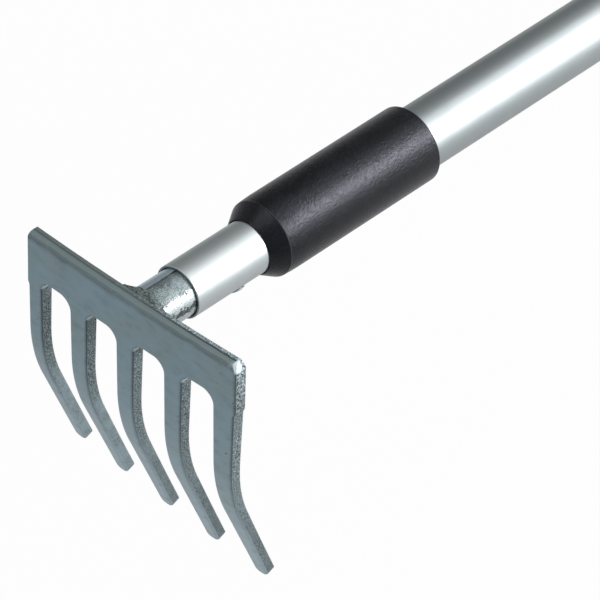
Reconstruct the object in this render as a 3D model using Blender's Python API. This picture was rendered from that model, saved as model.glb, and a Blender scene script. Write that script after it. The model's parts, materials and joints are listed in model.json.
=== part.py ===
"""Telescopic shrub rake.

A five-tine stamped steel head is welded to a rolled shank, which is riveted into an aluminium
tube. That tube slides inside a larger one and is held by a twist lock: half a turn of the handle
drives a cone nut along a screw and out of a split collet, which lets go of the outer tube.

The tool is modelled along +Y, from the head to the user's end, with the handle's axis at
X = Z = 0 and the tines pointing down. It is then laid on the floor as it rests in use: on the
tips of its tines and on the far end of its grip, with its box centred on the origin.
"""
import math

import bmesh
import bpy
from mathutils import Matrix, Vector

MM = 0.001

# Fits between pieces, and the distance under which two places count as one
CLEARANCE = 0.3 * MM
TOLERANCE = 0.001 * MM

# Stamped head. Heights are measured from the handle's axis.
HEAD_WIDTH = 102.2 * MM
HEAD_OFFSET = -0.3 * MM
PLATE_THICKNESS = 6.0 * MM
PLATE_TOP_HEIGHT = 10.3 * MM
BAR_HEIGHT = 17.3 * MM
TOP_CORNER_WIDTH = 2.4 * MM
TOP_CORNER_HEIGHT = 2.15 * MM
END_STEP_DROP = 21.0 * MM
END_STEP_DEPTH = 0.7 * MM
FRONT_EDGE_RADIUS = 1.4 * MM
TOP_EDGE_ROLL = 3.9 * MM
END_SWEEP = 0.96 * MM

# Tines. They stand a little to the left of the bar's middle, and each one is longer and bends
# lower than its left neighbour.
TINE_COUNT = 5
TINE_PITCH = 23.3 * MM
TINE_OFFSET = -1.7 * MM
SLOT_WIDTH = 15.0 * MM
SLOT_CORNER_RADIUS = 5.0 * MM
TINE_REACH = 103.9 * MM
TINE_REACH_STEP = 1.6 * MM
TINE_TIP_WIDTH = 6.2 * MM
TINE_TIP_THICKNESS = 4.4 * MM
TINE_TIP_RADIUS = 2.6 * MM
TINE_BEND_START = 33.2 * MM
TINE_BEND_STEP = 1.6 * MM
TINE_BEND_RADIUS = 70.0 * MM
TINE_BEND_ANGLE = math.radians(22.5)

# Rolled shank and its weld
SHANK_DIAMETER = 18.7 * MM
SHANK_WALL = 1.8 * MM
SHANK_LENGTH = 72.0 * MM
SHANK_SEAM_GAP = 0.8 * MM
SHANK_SEAM_TURN = math.radians(-6.0)
WELD_LEG = 3.0 * MM
WELD_HEIGHT = 4.2 * MM
WELD_TOE = 0.5 * MM
WELD_HOLLOWNESS = 1.7

# Tubes
INNER_TUBE_DIAMETER = 20.9 * MM
INNER_TUBE_WALL = 0.8 * MM
INNER_TUBE_EDGE_RADIUS = 0.5 * MM
INNER_TUBE_LENGTH = 350.0 * MM
SHANK_SHOWING = 19.0 * MM
OUTER_TUBE_DIAMETER = 25.0 * MM
OUTER_TUBE_WALL = 1.2 * MM
OUTER_TUBE_LENGTH = 560.0 * MM
INNER_TUBE_SHOWING = 35.1 * MM

# Blind rivet through the inner tube and the shank
RIVET_FROM_MOUTH = 23.4 * MM
RIVET_DIAMETER = 3.2 * MM
RIVET_HEAD_DIAMETER = 5.6 * MM
RIVET_HEAD_HEIGHT = 0.5 * MM
RIVET_BULB_DIAMETER = 4.4 * MM
RIVET_BULB_LENGTH = 3.0 * MM
RIVET_BULB_SLOPE = 1.0 * MM
RIVET_TURN = math.radians(142.0)
MANDREL_DIAMETER = 1.5 * MM
MANDREL_HEAD_DIAMETER = 2.6 * MM
MANDREL_HEAD_LENGTH = 1.4 * MM
MANDREL_POINT_LENGTH = 0.6 * MM
MANDREL_BREAK_DEPTH = 0.4 * MM

# Twist lock
PLUG_INSERT_LENGTH = 32.0 * MM
PLUG_LEAD_IN = 1.0 * MM
PLUG_FLANGE_THICKNESS = 4.0 * MM
PLUG_PIN_DIAMETER = 2.5 * MM
PLUG_PIN_FROM_END = 25.0 * MM
SCREW_ROOT_DIAMETER = 8.0 * MM
SCREW_ROOT_LENGTH = 18.0 * MM
THREAD_DIAMETER = 7.2 * MM
THREAD_DEPTH = 0.8 * MM
THREAD_PITCH = 4.0 * MM
THREAD_LENGTH = 22.0 * MM
THREAD_FROM_COLLET_END = 6.0 * MM
COLLET_LENGTH = 34.0 * MM
COLLET_SMALL_BORE = 12.4 * MM
COLLET_LARGE_BORE = 19.0 * MM
COLLET_SLIT_WIDTH = 1.8 * MM
COLLET_RELIEF_LENGTH = 24.0 * MM
COLLET_GROOVE_COUNT = 4
COLLET_GROOVE_DEPTH = 0.4 * MM
COLLET_GROOVE_WIDTH = 1.6 * MM
DRAG_RING_THICKNESS = 1.6 * MM
DRAG_RING_FROM_END = 4.5 * MM
NUT_LENGTH = 14.0 * MM
NUT_FROM_COLLET_END = 8.0 * MM
NUT_KEY_LENGTH = 10.0 * MM
NUT_KEY_DEPTH = 1.6 * MM
STOP_WASHER_DIAMETER = 20.8 * MM
STOP_WASHER_THICKNESS = 1.5 * MM
STOP_SCREW_DIAMETER = 3.0 * MM
STOP_SCREW_LENGTH = 9.0 * MM
STOP_SCREW_HEAD_DIAMETER = 5.6 * MM
STOP_SCREW_HEAD_HEIGHT = 2.2 * MM
STOP_SCREW_HEAD_BEVEL = 0.6 * MM
STOP_SCREW_RECESS_WIDTH = 0.9 * MM

# Black collar on the mouth of the outer tube
COLLAR_LENGTH = 84.3 * MM
COLLAR_DIAMETER = 30.7 * MM
COLLAR_NOSE_LIP = 0.2 * MM
COLLAR_NOSE_LENGTH = 6.6 * MM
COLLAR_NOSE_RISE = 4.1 * MM
COLLAR_TAPER_LENGTH = 8.0 * MM
COLLAR_SHOULDER = 11.0 * MM
COLLAR_EDGE_RADIUS = 0.7 * MM

# Grip and end cap
GRIP_LENGTH = 128.0 * MM
GRIP_WALL = 2.6 * MM
GRIP_END_BEAD = 1.2 * MM
GRIP_END_BEAD_LENGTH = 9.0 * MM
GRIP_BEAD_SLOPE = 1.8 * MM
GRIP_GROOVE_COUNT = 9
GRIP_GROOVE_DEPTH = 0.7 * MM
GRIP_GROOVE_WIDTH = 3.0 * MM
CAP_INSERT_LENGTH = 22.0 * MM
CAP_LEAD_IN = 1.2 * MM
CAP_FLANGE_THICKNESS = 4.0 * MM
CAP_FLANGE_DIAMETER = 29.0 * MM
CAP_EYE_WIDTH = 22.0 * MM
CAP_EYE_LENGTH = 24.0 * MM
CAP_EYE_THICKNESS = 8.0 * MM
CAP_HOLE_DIAMETER = 11.0 * MM

# Fineness of the round pieces
TUBE_STEPS = 44
SMALL_STEPS = 20
THREAD_RINGS_PER_TURN = 6
ARC_STEPS = 5

# Ends of the head across the handle
HEAD_LEFT = HEAD_OFFSET - HEAD_WIDTH / 2
HEAD_RIGHT = HEAD_OFFSET + HEAD_WIDTH / 2

# Radii that the fits share
INNER_RADIUS = INNER_TUBE_DIAMETER / 2
INNER_BORE_RADIUS = INNER_RADIUS - INNER_TUBE_WALL
OUTER_RADIUS = OUTER_TUBE_DIAMETER / 2
OUTER_BORE_RADIUS = OUTER_RADIUS - OUTER_TUBE_WALL
SHANK_RADIUS = SHANK_DIAMETER / 2
RUNNING_RADIUS = OUTER_BORE_RADIUS - CLEARANCE

# Places along the handle's axis. The back of the plate is at zero.
INNER_TUBE_START = SHANK_SHOWING
INNER_TUBE_END = INNER_TUBE_START + INNER_TUBE_LENGTH
COLLAR_START = INNER_TUBE_START + INNER_TUBE_SHOWING
OUTER_TUBE_START = COLLAR_START + COLLAR_SHOULDER + CLEARANCE
OUTER_TUBE_END = OUTER_TUBE_START + OUTER_TUBE_LENGTH
RIVET_PLACE = INNER_TUBE_START + RIVET_FROM_MOUTH
FLANGE_START = INNER_TUBE_END + CLEARANCE
FLANGE_END = FLANGE_START + PLUG_FLANGE_THICKNESS
COLLET_START = FLANGE_END + CLEARANCE
COLLET_END = COLLET_START + COLLET_LENGTH
SCREW_START = FLANGE_END - SCREW_ROOT_LENGTH
SCREW_END = COLLET_END + CLEARANCE
NUT_START = COLLET_START + NUT_FROM_COLLET_END
GRIP_START = OUTER_TUBE_END - GRIP_LENGTH
GRIP_RADIUS = OUTER_RADIUS + CLEARANCE + GRIP_WALL + GRIP_END_BEAD


def clear_scene():
    for obj in list(bpy.data.objects):
        bpy.data.objects.remove(obj)


def finish(name, colour, roughness, metallic):
    """A Principled material of one colour."""
    material = bpy.data.materials.new(name)
    material.use_nodes = True
    shader = material.node_tree.nodes["Principled BSDF"]
    shader.inputs["Base Color"].default_value = (*colour, 1.0)
    shader.inputs["Roughness"].default_value = roughness
    shader.inputs["Metallic"].default_value = metallic
    material.diffuse_color = (*colour, 1.0)
    return material


def piece(name, bm, material, parent, y=0.0, sharp=35.0):
    """Turns a bmesh into a named object whose origin is on the handle's axis at y."""
    bmesh.ops.recalc_face_normals(bm, faces=bm.faces)
    mesh = bpy.data.meshes.new(name)
    bm.to_mesh(mesh)
    bm.free()
    mesh.shade_smooth()
    mesh.set_sharp_from_angle(angle=math.radians(sharp))
    mesh.materials.append(material)
    obj = bpy.data.objects.new(name, mesh)
    bpy.context.scene.collection.objects.link(obj)
    obj.parent = parent
    obj.location = (0.0, y, 0.0)
    return obj


def cutter(name, bm, parent, target, y=0.0, operation="DIFFERENCE"):
    """A hidden solid that is cut out of its target, or joined to it."""
    bmesh.ops.recalc_face_normals(bm, faces=bm.faces)
    mesh = bpy.data.meshes.new(name)
    bm.to_mesh(mesh)
    bm.free()
    obj = bpy.data.objects.new(name, mesh)
    bpy.context.scene.collection.objects.link(obj)
    obj.parent = parent
    obj.location = (0.0, y, 0.0)
    obj.hide_render = True
    obj.display_type = "WIRE"
    cut = target.modifiers.new(name, "BOOLEAN")
    cut.operation = operation
    cut.solver = "EXACT"
    cut.object = obj
    return obj


def turned(profile, steps=TUBE_STEPS):
    """Spins (radius, y) points round the Y axis. A profile that leaves the axis and comes back
    to it makes a solid, and one that never touches the axis is a closed loop, a ring."""
    bm = bmesh.new()
    points = [bm.verts.new((radius, y, 0.0)) for radius, y in profile]
    edges = [bm.edges.new(pair) for pair in zip(points, points[1:])]
    if profile[0][0] > 0.0:
        edges.append(bm.edges.new((points[-1], points[0])))
    bmesh.ops.spin(bm, geom=points + edges, cent=(0.0, 0.0, 0.0), axis=(0.0, 1.0, 0.0),
                   angle=math.tau, steps=steps, use_merge=True)
    bmesh.ops.remove_doubles(bm, verts=bm.verts, dist=TOLERANCE)
    return bm


def box(size, centre):
    bm = bmesh.new()
    bmesh.ops.create_cube(bm, size=1.0)
    bmesh.ops.scale(bm, vec=size, verts=bm.verts)
    bmesh.ops.translate(bm, vec=centre, verts=bm.verts)
    return bm


def rod(radius, length, turn):
    """A cylinder of this length from the axis outwards. Turn is its angle from straight up."""
    bm = turned([(0.0, 0.0), (radius, 0.0), (radius, length), (0.0, length)], SMALL_STEPS)
    bmesh.ops.rotate(bm, verts=bm.verts, cent=(0.0, 0.0, 0.0), matrix=outward(turn))
    return bm


def outward(turn):
    """Takes +Y to the direction that stands square to the axis at this angle from straight up,
    turning towards +X."""
    return Matrix.Rotation(turn, 3, "Y") @ Matrix.Rotation(math.radians(90.0), 3, "X")


def arc(centre, radius, start, end, steps=ARC_STEPS):
    """Points of an arc from one angle to another, in degrees, both ends included."""
    angles = [math.radians(start + (end - start) * step / steps) for step in range(steps + 1)]
    return [(centre[0] + radius * math.cos(a), centre[1] + radius * math.sin(a)) for a in angles]


def quarter_round(outer, y_edge, radius, steps=ARC_STEPS):
    """Profile points that round the corner at (outer, y_edge) of a turned piece. The round runs
    from the side onto the end face, towards +Y for a positive radius."""
    centre = (outer - abs(radius), y_edge - radius)
    points = []
    for step in range(steps + 1):
        angle = math.radians(90.0 * step / steps)
        points.append((centre[0] + abs(radius) * math.cos(angle),
                       centre[1] + radius * math.sin(angle)))
    return points


def from_middle(index):
    """How many tines this one is to the right of the middle tine."""
    return index - (TINE_COUNT - 1) / 2


def tine_centre(index):
    return from_middle(index) * TINE_PITCH + TINE_OFFSET


def tine_edges(index):
    """The left and right edge of one tine at its root."""
    half_width = (TINE_PITCH - SLOT_WIDTH) / 2
    left = HEAD_LEFT + END_STEP_DEPTH if index == 0 else tine_centre(index) - half_width
    last = index == TINE_COUNT - 1
    right = HEAD_RIGHT - END_STEP_DEPTH if last else tine_centre(index) + half_width
    return left, right


def tine_outline(index):
    """One tine of the flat blank, from its right root to its left root, as (x, z) points."""
    left, right = tine_edges(index)
    middle = (left + right) / 2
    half = TINE_TIP_WIDTH / 2
    tip = -(TINE_REACH + from_middle(index) * TINE_REACH_STEP)
    corner = TINE_TIP_RADIUS
    points = arc((middle + half - corner, tip + corner), corner, 0.0, -90.0)
    points += arc((middle - half + corner, tip + corner), corner, -90.0, -180.0)
    return points


def slot_outline(index):
    """The top of the gap to the left of tine index, from its right side to its left side."""
    slot_top = PLATE_TOP_HEIGHT - BAR_HEIGHT
    right = tine_edges(index)[0]
    left = tine_edges(index - 1)[1]
    corner = SLOT_CORNER_RADIUS
    points = arc((right - corner, slot_top - corner), corner, 0.0, 90.0)
    points += arc((left + corner, slot_top - corner), corner, 90.0, 180.0)
    return points


def blank_outline():
    """The head as it is stamped, before its tines are bent, as (x, z) points clockwise. The
    shears clip its right corner."""
    step_height = PLATE_TOP_HEIGHT - END_STEP_DROP
    step_slope = 2.0 * END_STEP_DEPTH
    points = [
        (HEAD_LEFT, PLATE_TOP_HEIGHT),
        (HEAD_RIGHT - TOP_CORNER_WIDTH, PLATE_TOP_HEIGHT),
        (HEAD_RIGHT, PLATE_TOP_HEIGHT - TOP_CORNER_HEIGHT),
        (HEAD_RIGHT, step_height),
        (HEAD_RIGHT - END_STEP_DEPTH, step_height - step_slope),
    ]
    for index in reversed(range(TINE_COUNT)):
        points += tine_outline(index)
        if index > 0:
            points += slot_outline(index)
    points += [(HEAD_LEFT + END_STEP_DEPTH, step_height - step_slope), (HEAD_LEFT, step_height)]
    return points


def tine_thickness(drop):
    """Thickness at a distance below the axis: the tines are drawn out towards their tips."""
    root = BAR_HEIGHT - PLATE_TOP_HEIGHT
    share = min(max((drop - root) / (TINE_REACH - root), 0.0), 1.0)
    return TINE_TIP_THICKNESS + (PLATE_THICKNESS - TINE_TIP_THICKNESS) * (1.0 - share) ** 2


def pressed(point):
    """Where a point of the flat blank goes when the tines are bent, the top edge is rolled over
    and the ends are swept back."""
    drop = -point.z
    depth = point.y + PLATE_THICKNESS
    if point.z > PLATE_TOP_HEIGHT - FRONT_EDGE_RADIUS and depth < FRONT_EDGE_RADIUS + TOLERANCE:
        depth *= TOP_EDGE_ROLL / FRONT_EDGE_RADIUS
    depth *= tine_thickness(drop) / PLATE_THICKNESS
    bend_start = TINE_BEND_START + TINE_BEND_STEP * (point.x - TINE_OFFSET) / TINE_PITCH
    bent = max(drop - bend_start, 0.0)
    angle = min(bent / TINE_BEND_RADIUS, TINE_BEND_ANGLE)
    straight = bent - angle * TINE_BEND_RADIUS
    back = TINE_BEND_RADIUS * (1.0 - math.cos(angle)) + straight * math.sin(angle)
    down = min(drop, bend_start) + TINE_BEND_RADIUS * math.sin(angle) + straight * math.cos(angle)
    sweep = END_SWEEP * (2.0 * (point.x - HEAD_OFFSET) / HEAD_WIDTH) ** 2
    y = -PLATE_THICKNESS + back + depth * math.cos(angle) + sweep
    return Vector((point.x, y, -down + depth * math.sin(angle)))


def make_rake_head(parent):
    bm = bmesh.new()
    outline = [bm.verts.new((x, -PLATE_THICKNESS, z)) for x, z in blank_outline()]
    front = bm.faces.new(outline)
    rim = list(front.edges)
    walls = bmesh.ops.extrude_face_region(bm, geom=[front], use_keep_orig=True)
    back = [item for item in walls["geom"] if isinstance(item, bmesh.types.BMVert)]
    bmesh.ops.translate(bm, vec=(0.0, PLATE_THICKNESS, 0.0), verts=back)
    bmesh.ops.recalc_face_normals(bm, faces=bm.faces)
    bmesh.ops.bevel(bm, geom=rim, offset=FRONT_EDGE_RADIUS, offset_type="OFFSET", segments=3,
                    profile=0.5, affect="EDGES", material=-1, clamp_overlap=False)
    bend_length = TINE_BEND_RADIUS * TINE_BEND_ANGLE
    bend_cuts = 8
    levels = [TINE_BEND_START * 0.6]
    levels += [TINE_BEND_START + bend_length * cut / bend_cuts for cut in range(bend_cuts + 1)]
    levels += [(TINE_BEND_START + bend_length + TINE_REACH) / 2]
    for level in levels:
        cut_through(bm, (0.0, 0.0, -level), (0.0, 0.0, 1.0))
    for index in range(TINE_COUNT):
        cut_through(bm, (tine_centre(index), 0.0, 0.0), (1.0, 0.0, 0.0))
        if index > 0:
            cut_through(bm, (tine_centre(index) - TINE_PITCH / 2, 0.0, 0.0), (1.0, 0.0, 0.0))
    bmesh.ops.triangulate(bm, faces=bm.faces, quad_method="BEAUTY", ngon_method="BEAUTY")
    for vert in bm.verts:
        vert.co = pressed(vert.co)
    steel = finish("zinc_plated_head", (0.36, 0.42, 0.45), 0.38, 0.85)
    return piece("rake_head", bm, steel, parent, sharp=40.0)


def cut_through(bm, point, normal):
    """Adds a ring of edges where a plane crosses the mesh."""
    geometry = list(bm.verts) + list(bm.edges) + list(bm.faces)
    bmesh.ops.bisect_plane(bm, geom=geometry, dist=TOLERANCE, plane_co=point, plane_no=normal)


def make_shank(parent):
    """Sheet rolled to a tube, whose edges nearly meet near the top."""
    bore = SHANK_RADIUS - SHANK_WALL
    half_gap = math.asin(SHANK_SEAM_GAP / 2 / SHANK_RADIUS)
    bm = bmesh.new()
    corners = [(SHANK_RADIUS, 0.0), (SHANK_RADIUS, SHANK_LENGTH), (bore, SHANK_LENGTH), (bore, 0.0)]
    loop = [bm.verts.new((0.0, y, radius)) for radius, y in corners]
    first = bm.faces.new(loop)
    bmesh.ops.rotate(bm, verts=loop, cent=(0.0, 0.0, 0.0),
                     matrix=Matrix.Rotation(SHANK_SEAM_TURN + half_gap, 3, "Y"))
    bmesh.ops.spin(bm, geom=[first], cent=(0.0, 0.0, 0.0), axis=(0.0, 1.0, 0.0),
                   angle=math.tau - 2.0 * half_gap, steps=TUBE_STEPS)
    steel = finish("rolled_steel", (0.60, 0.64, 0.66), 0.30, 0.95)
    shank = piece("shank", bm, steel, parent, y=CLEARANCE)
    hole = rod(RIVET_DIAMETER / 2 + CLEARANCE, SHANK_DIAMETER, RIVET_TURN)
    cutter("shank_rivet_hole", hole, parent, shank, y=RIVET_PLACE)
    return shank


def make_weld_bead(parent):
    """Fillet weld round the foot of the shank, dressed flush with the top of the plate."""
    inner = SHANK_RADIUS + CLEARANCE
    profile = [(inner, 0.0)]
    for step in range(ARC_STEPS + 1):
        share = step / ARC_STEPS
        rise = (WELD_HEIGHT - WELD_TOE) * (1.0 - share) ** WELD_HOLLOWNESS
        profile.append((inner + WELD_LEG * share, WELD_TOE + rise))
    profile.append((inner + WELD_LEG, 0.0))
    bm = turned(profile)
    geometry = list(bm.verts) + list(bm.edges) + list(bm.faces)
    flush = PLATE_TOP_HEIGHT - CLEARANCE
    bmesh.ops.bisect_plane(bm, geom=geometry, dist=TOLERANCE, plane_co=(0.0, 0.0, flush),
                           plane_no=(0.0, 0.0, 1.0), clear_outer=True)
    bmesh.ops.holes_fill(bm, edges=[edge for edge in bm.edges if edge.is_boundary], sides=0)
    steel = finish("weld_metal", (0.22, 0.24, 0.24), 0.55, 0.8)
    return piece("weld_bead", bm, steel, parent, y=CLEARANCE)


def make_inner_tube(parent):
    mouth = quarter_round(INNER_RADIUS, 0.0, -INNER_TUBE_EDGE_RADIUS, 3)
    ends = [(INNER_BORE_RADIUS, 0.0)] + list(reversed(mouth))
    ends += [(INNER_RADIUS, INNER_TUBE_LENGTH), (INNER_BORE_RADIUS, INNER_TUBE_LENGTH)]
    alloy = finish("satin_aluminium_inner", (0.72, 0.73, 0.74), 0.32, 0.95)
    tube = piece("inner_tube", turned(ends), alloy, parent, y=INNER_TUBE_START)
    rivet_hole = rod(RIVET_DIAMETER / 2 + CLEARANCE, INNER_TUBE_DIAMETER, RIVET_TURN)
    cutter("tube_rivet_hole", rivet_hole, parent, tube, y=RIVET_PLACE)
    pin_hole = cross_rod(PLUG_PIN_DIAMETER / 2 + CLEARANCE, INNER_TUBE_DIAMETER * 1.5)
    cutter("tube_pin_hole", pin_hole, parent, tube, y=INNER_TUBE_END - PLUG_PIN_FROM_END)
    return tube


def cross_rod(radius, length):
    """A cylinder that lies across the axis, along X, centred on it."""
    bm = turned([(0.0, -length / 2), (radius, -length / 2), (radius, length / 2),
                 (0.0, length / 2)], SMALL_STEPS)
    bmesh.ops.rotate(bm, verts=bm.verts, cent=(0.0, 0.0, 0.0),
                     matrix=Matrix.Rotation(math.radians(-90.0), 3, "Z"))
    return bm


def make_rivet(parent):
    """Blind rivet with its mandrel left inside. Both point outwards from the axis."""
    seat = INNER_RADIUS + CLEARANCE
    shank_bore = SHANK_RADIUS - SHANK_WALL
    bulb_top = shank_bore - CLEARANCE
    bulb_end = bulb_top - RIVET_BULB_LENGTH
    barrel = RIVET_DIAMETER / 2
    hollow = MANDREL_DIAMETER / 2 + CLEARANCE
    head = RIVET_HEAD_DIAMETER / 2
    bulb = RIVET_BULB_DIAMETER / 2
    top = seat + RIVET_HEAD_HEIGHT
    height_per_radius = RIVET_HEAD_HEIGHT / head
    dome = [(radius, seat + y * height_per_radius)
            for radius, y in arc((0.0, 0.0), head, 0.0, 50.0, 2)]
    profile = [(barrel, bulb_top), (barrel, seat)] + dome
    profile += [(hollow, top), (hollow, bulb_end), (barrel, bulb_end)]
    profile += [(bulb, bulb_end + RIVET_BULB_SLOPE), (bulb, bulb_top - RIVET_BULB_SLOPE)]
    bm = turned(profile, SMALL_STEPS)
    bmesh.ops.rotate(bm, verts=bm.verts, cent=(0.0, 0.0, 0.0), matrix=outward(RIVET_TURN))
    alloy = finish("rivet_aluminium", (0.66, 0.67, 0.68), 0.35, 0.9)
    piece("rivet_body", bm, alloy, parent, y=RIVET_PLACE)

    head_start = bulb_end - CLEARANCE - MANDREL_HEAD_LENGTH
    pin = [(0.0, head_start), (MANDREL_HEAD_DIAMETER / 2, head_start + MANDREL_POINT_LENGTH),
           (MANDREL_HEAD_DIAMETER / 2, head_start + MANDREL_HEAD_LENGTH),
           (MANDREL_DIAMETER / 2, head_start + MANDREL_HEAD_LENGTH),
           (MANDREL_DIAMETER / 2, top - MANDREL_BREAK_DEPTH), (0.0, top - MANDREL_BREAK_DEPTH)]
    bm = turned(pin, SMALL_STEPS)
    bmesh.ops.rotate(bm, verts=bm.verts, cent=(0.0, 0.0, 0.0), matrix=outward(RIVET_TURN))
    steel = finish("mandrel_steel", (0.45, 0.46, 0.47), 0.4, 0.9)
    piece("rivet_mandrel", bm, steel, parent, y=RIVET_PLACE)


def make_lock_plug(parent):
    """Plastic plug in the end of the inner tube. Its flange guides that tube in the outer one."""
    insert = INNER_BORE_RADIUS - CLEARANCE
    bore = SCREW_ROOT_DIAMETER / 2 + CLEARANCE
    flange_start = CLEARANCE
    flange_end = CLEARANCE + PLUG_FLANGE_THICKNESS
    bore_end = flange_end - SCREW_ROOT_LENGTH - CLEARANCE
    profile = [(0.0, -PLUG_INSERT_LENGTH), (insert - PLUG_LEAD_IN, -PLUG_INSERT_LENGTH),
               (insert, -PLUG_INSERT_LENGTH + PLUG_LEAD_IN), (insert, flange_start),
               (RUNNING_RADIUS, flange_start), (RUNNING_RADIUS, flange_end),
               (bore, flange_end), (bore, bore_end), (0.0, bore_end)]
    nylon = finish("plug_nylon", (0.10, 0.10, 0.11), 0.5, 0.0)
    plug = piece("lock_plug", turned(profile), nylon, parent, y=INNER_TUBE_END)
    hole = cross_rod(PLUG_PIN_DIAMETER / 2 + CLEARANCE, INNER_TUBE_DIAMETER * 1.5)
    cutter("plug_pin_hole", hole, parent, plug, y=INNER_TUBE_END - PLUG_PIN_FROM_END)

    pin = cross_rod(PLUG_PIN_DIAMETER / 2, INNER_TUBE_DIAMETER)
    steel = finish("pin_steel", (0.62, 0.63, 0.64), 0.3, 0.95)
    piece("lock_plug_pin", pin, steel, parent, y=INNER_TUBE_END - PLUG_PIN_FROM_END)


def thread_height(vert, y_start):
    """Height of the rounded thread, from 0 at its root to 1 at its crest. The thread rises one
    pitch for each turn about +Y, so a nut that turns with it climbs without touching it."""
    turn = math.atan2(vert.co.x, vert.co.z) / math.tau
    return 0.5 - 0.5 * math.cos(math.tau * ((vert.co.y + y_start) / THREAD_PITCH - turn))


def ring_places(start, end):
    """Evenly spaced places for the rings of a thread, both ends included."""
    count = math.ceil((end - start) / THREAD_PITCH * THREAD_RINGS_PER_TURN)
    return [start + (end - start) * ring / count for ring in range(count + 1)]


def make_lock_screw(parent):
    """Screw that is moulded into the plug. The cone nut runs on it."""
    crest = THREAD_DIAMETER / 2
    root = crest - THREAD_DEPTH
    neck = SCREW_ROOT_LENGTH + CLEARANCE
    length = SCREW_END - SCREW_START
    thread_start = neck + THREAD_FROM_COLLET_END
    thread_end = thread_start + THREAD_LENGTH
    bore = STOP_SCREW_DIAMETER / 2 + CLEARANCE
    bore_end = length - STOP_SCREW_LENGTH + STOP_WASHER_THICKNESS
    profile = [(0.0, 0.0), (SCREW_ROOT_DIAMETER / 2, 0.0), (SCREW_ROOT_DIAMETER / 2, SCREW_ROOT_LENGTH),
               (root, SCREW_ROOT_LENGTH)]
    profile += [(root, y) for y in ring_places(thread_start, thread_end)]
    profile += [(root, length), (bore, length), (bore, bore_end), (0.0, bore_end)]
    bm = turned(profile, SMALL_STEPS)
    run_out = THREAD_PITCH / 2
    for vert in bm.verts:
        outside = math.hypot(vert.co.x, vert.co.z) > bore + TOLERANCE
        if outside and thread_start <= vert.co.y <= thread_end:
            fade = min((vert.co.y - thread_start) / run_out, (thread_end - vert.co.y) / run_out, 1.0)
            grow = 1.0 + THREAD_DEPTH * fade * thread_height(vert, SCREW_START) / root
            vert.co.x *= grow
            vert.co.z *= grow
    zinc = finish("screw_zinc_alloy", (0.55, 0.56, 0.57), 0.35, 0.9)
    return piece("lock_screw", bm, zinc, parent, y=SCREW_START)


def collet_bore(y):
    """Radius of the collet's tapered bore at a distance from its small end."""
    small = COLLET_SMALL_BORE / 2
    large = COLLET_LARGE_BORE / 2
    return small + (large - small) * y / COLLET_LENGTH


def make_lock_collet(parent):
    """Split sleeve that the cone nut spreads against the bore of the outer tube."""
    outer = RUNNING_RADIUS
    ring_half = DRAG_RING_THICKNESS / 2 + CLEARANCE
    ring_floor = outer - DRAG_RING_THICKNESS - CLEARANCE
    profile = [(outer, 0.0), (outer, DRAG_RING_FROM_END - ring_half),
               (ring_floor, DRAG_RING_FROM_END - ring_half),
               (ring_floor, DRAG_RING_FROM_END + ring_half),
               (outer, DRAG_RING_FROM_END + ring_half)]
    grooved_start = DRAG_RING_FROM_END + ring_half
    spacing = (COLLET_LENGTH - grooved_start) / (COLLET_GROOVE_COUNT + 1)
    for groove in range(COLLET_GROOVE_COUNT):
        middle = grooved_start + spacing * (groove + 1)
        half = COLLET_GROOVE_WIDTH / 2
        floor = outer - COLLET_GROOVE_DEPTH
        profile += [(outer, middle - half), (floor, middle - half + COLLET_GROOVE_DEPTH)]
        profile += [(floor, middle + half - COLLET_GROOVE_DEPTH), (outer, middle + half)]
    profile += [(outer, COLLET_LENGTH), (collet_bore(COLLET_LENGTH), COLLET_LENGTH)]
    profile += [(collet_bore(0.0), 0.0)]
    nylon = finish("collet_acetal", (0.80, 0.80, 0.76), 0.45, 0.0)
    collet = piece("lock_collet", turned(profile), nylon, parent, y=COLLET_START)
    height = OUTER_TUBE_DIAMETER
    slit = box((COLLET_SLIT_WIDTH, COLLET_LENGTH * 1.5, height),
               (0.0, COLLET_LENGTH / 2, height / 2))
    cutter("collet_slit", slit, parent, collet, y=COLLET_START)
    relief_start = COLLET_LENGTH - COLLET_RELIEF_LENGTH
    for name, turn in (("right", 90.0), ("bottom", 180.0), ("left", 270.0)):
        relief = box((COLLET_SLIT_WIDTH, COLLET_LENGTH, height),
                     (0.0, relief_start + COLLET_LENGTH / 2, height / 2))
        bmesh.ops.rotate(relief, verts=relief.verts, cent=(0.0, 0.0, 0.0),
                         matrix=Matrix.Rotation(math.radians(turn), 3, "Y"))
        cutter("collet_relief_" + name, relief, parent, collet, y=COLLET_START)
    return collet


def make_lock_drag_ring(parent):
    """Rubber ring round the collet. It drags on the outer tube, so the collet turns with it."""
    half = DRAG_RING_THICKNESS / 2
    section = arc((RUNNING_RADIUS - half, 0.0), half, 0.0, 315.0, 7)
    rubber = finish("drag_ring_rubber", (0.03, 0.03, 0.03), 0.7, 0.0)
    return piece("lock_drag_ring", turned(section), rubber, parent,
                 y=COLLET_START + DRAG_RING_FROM_END)


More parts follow.
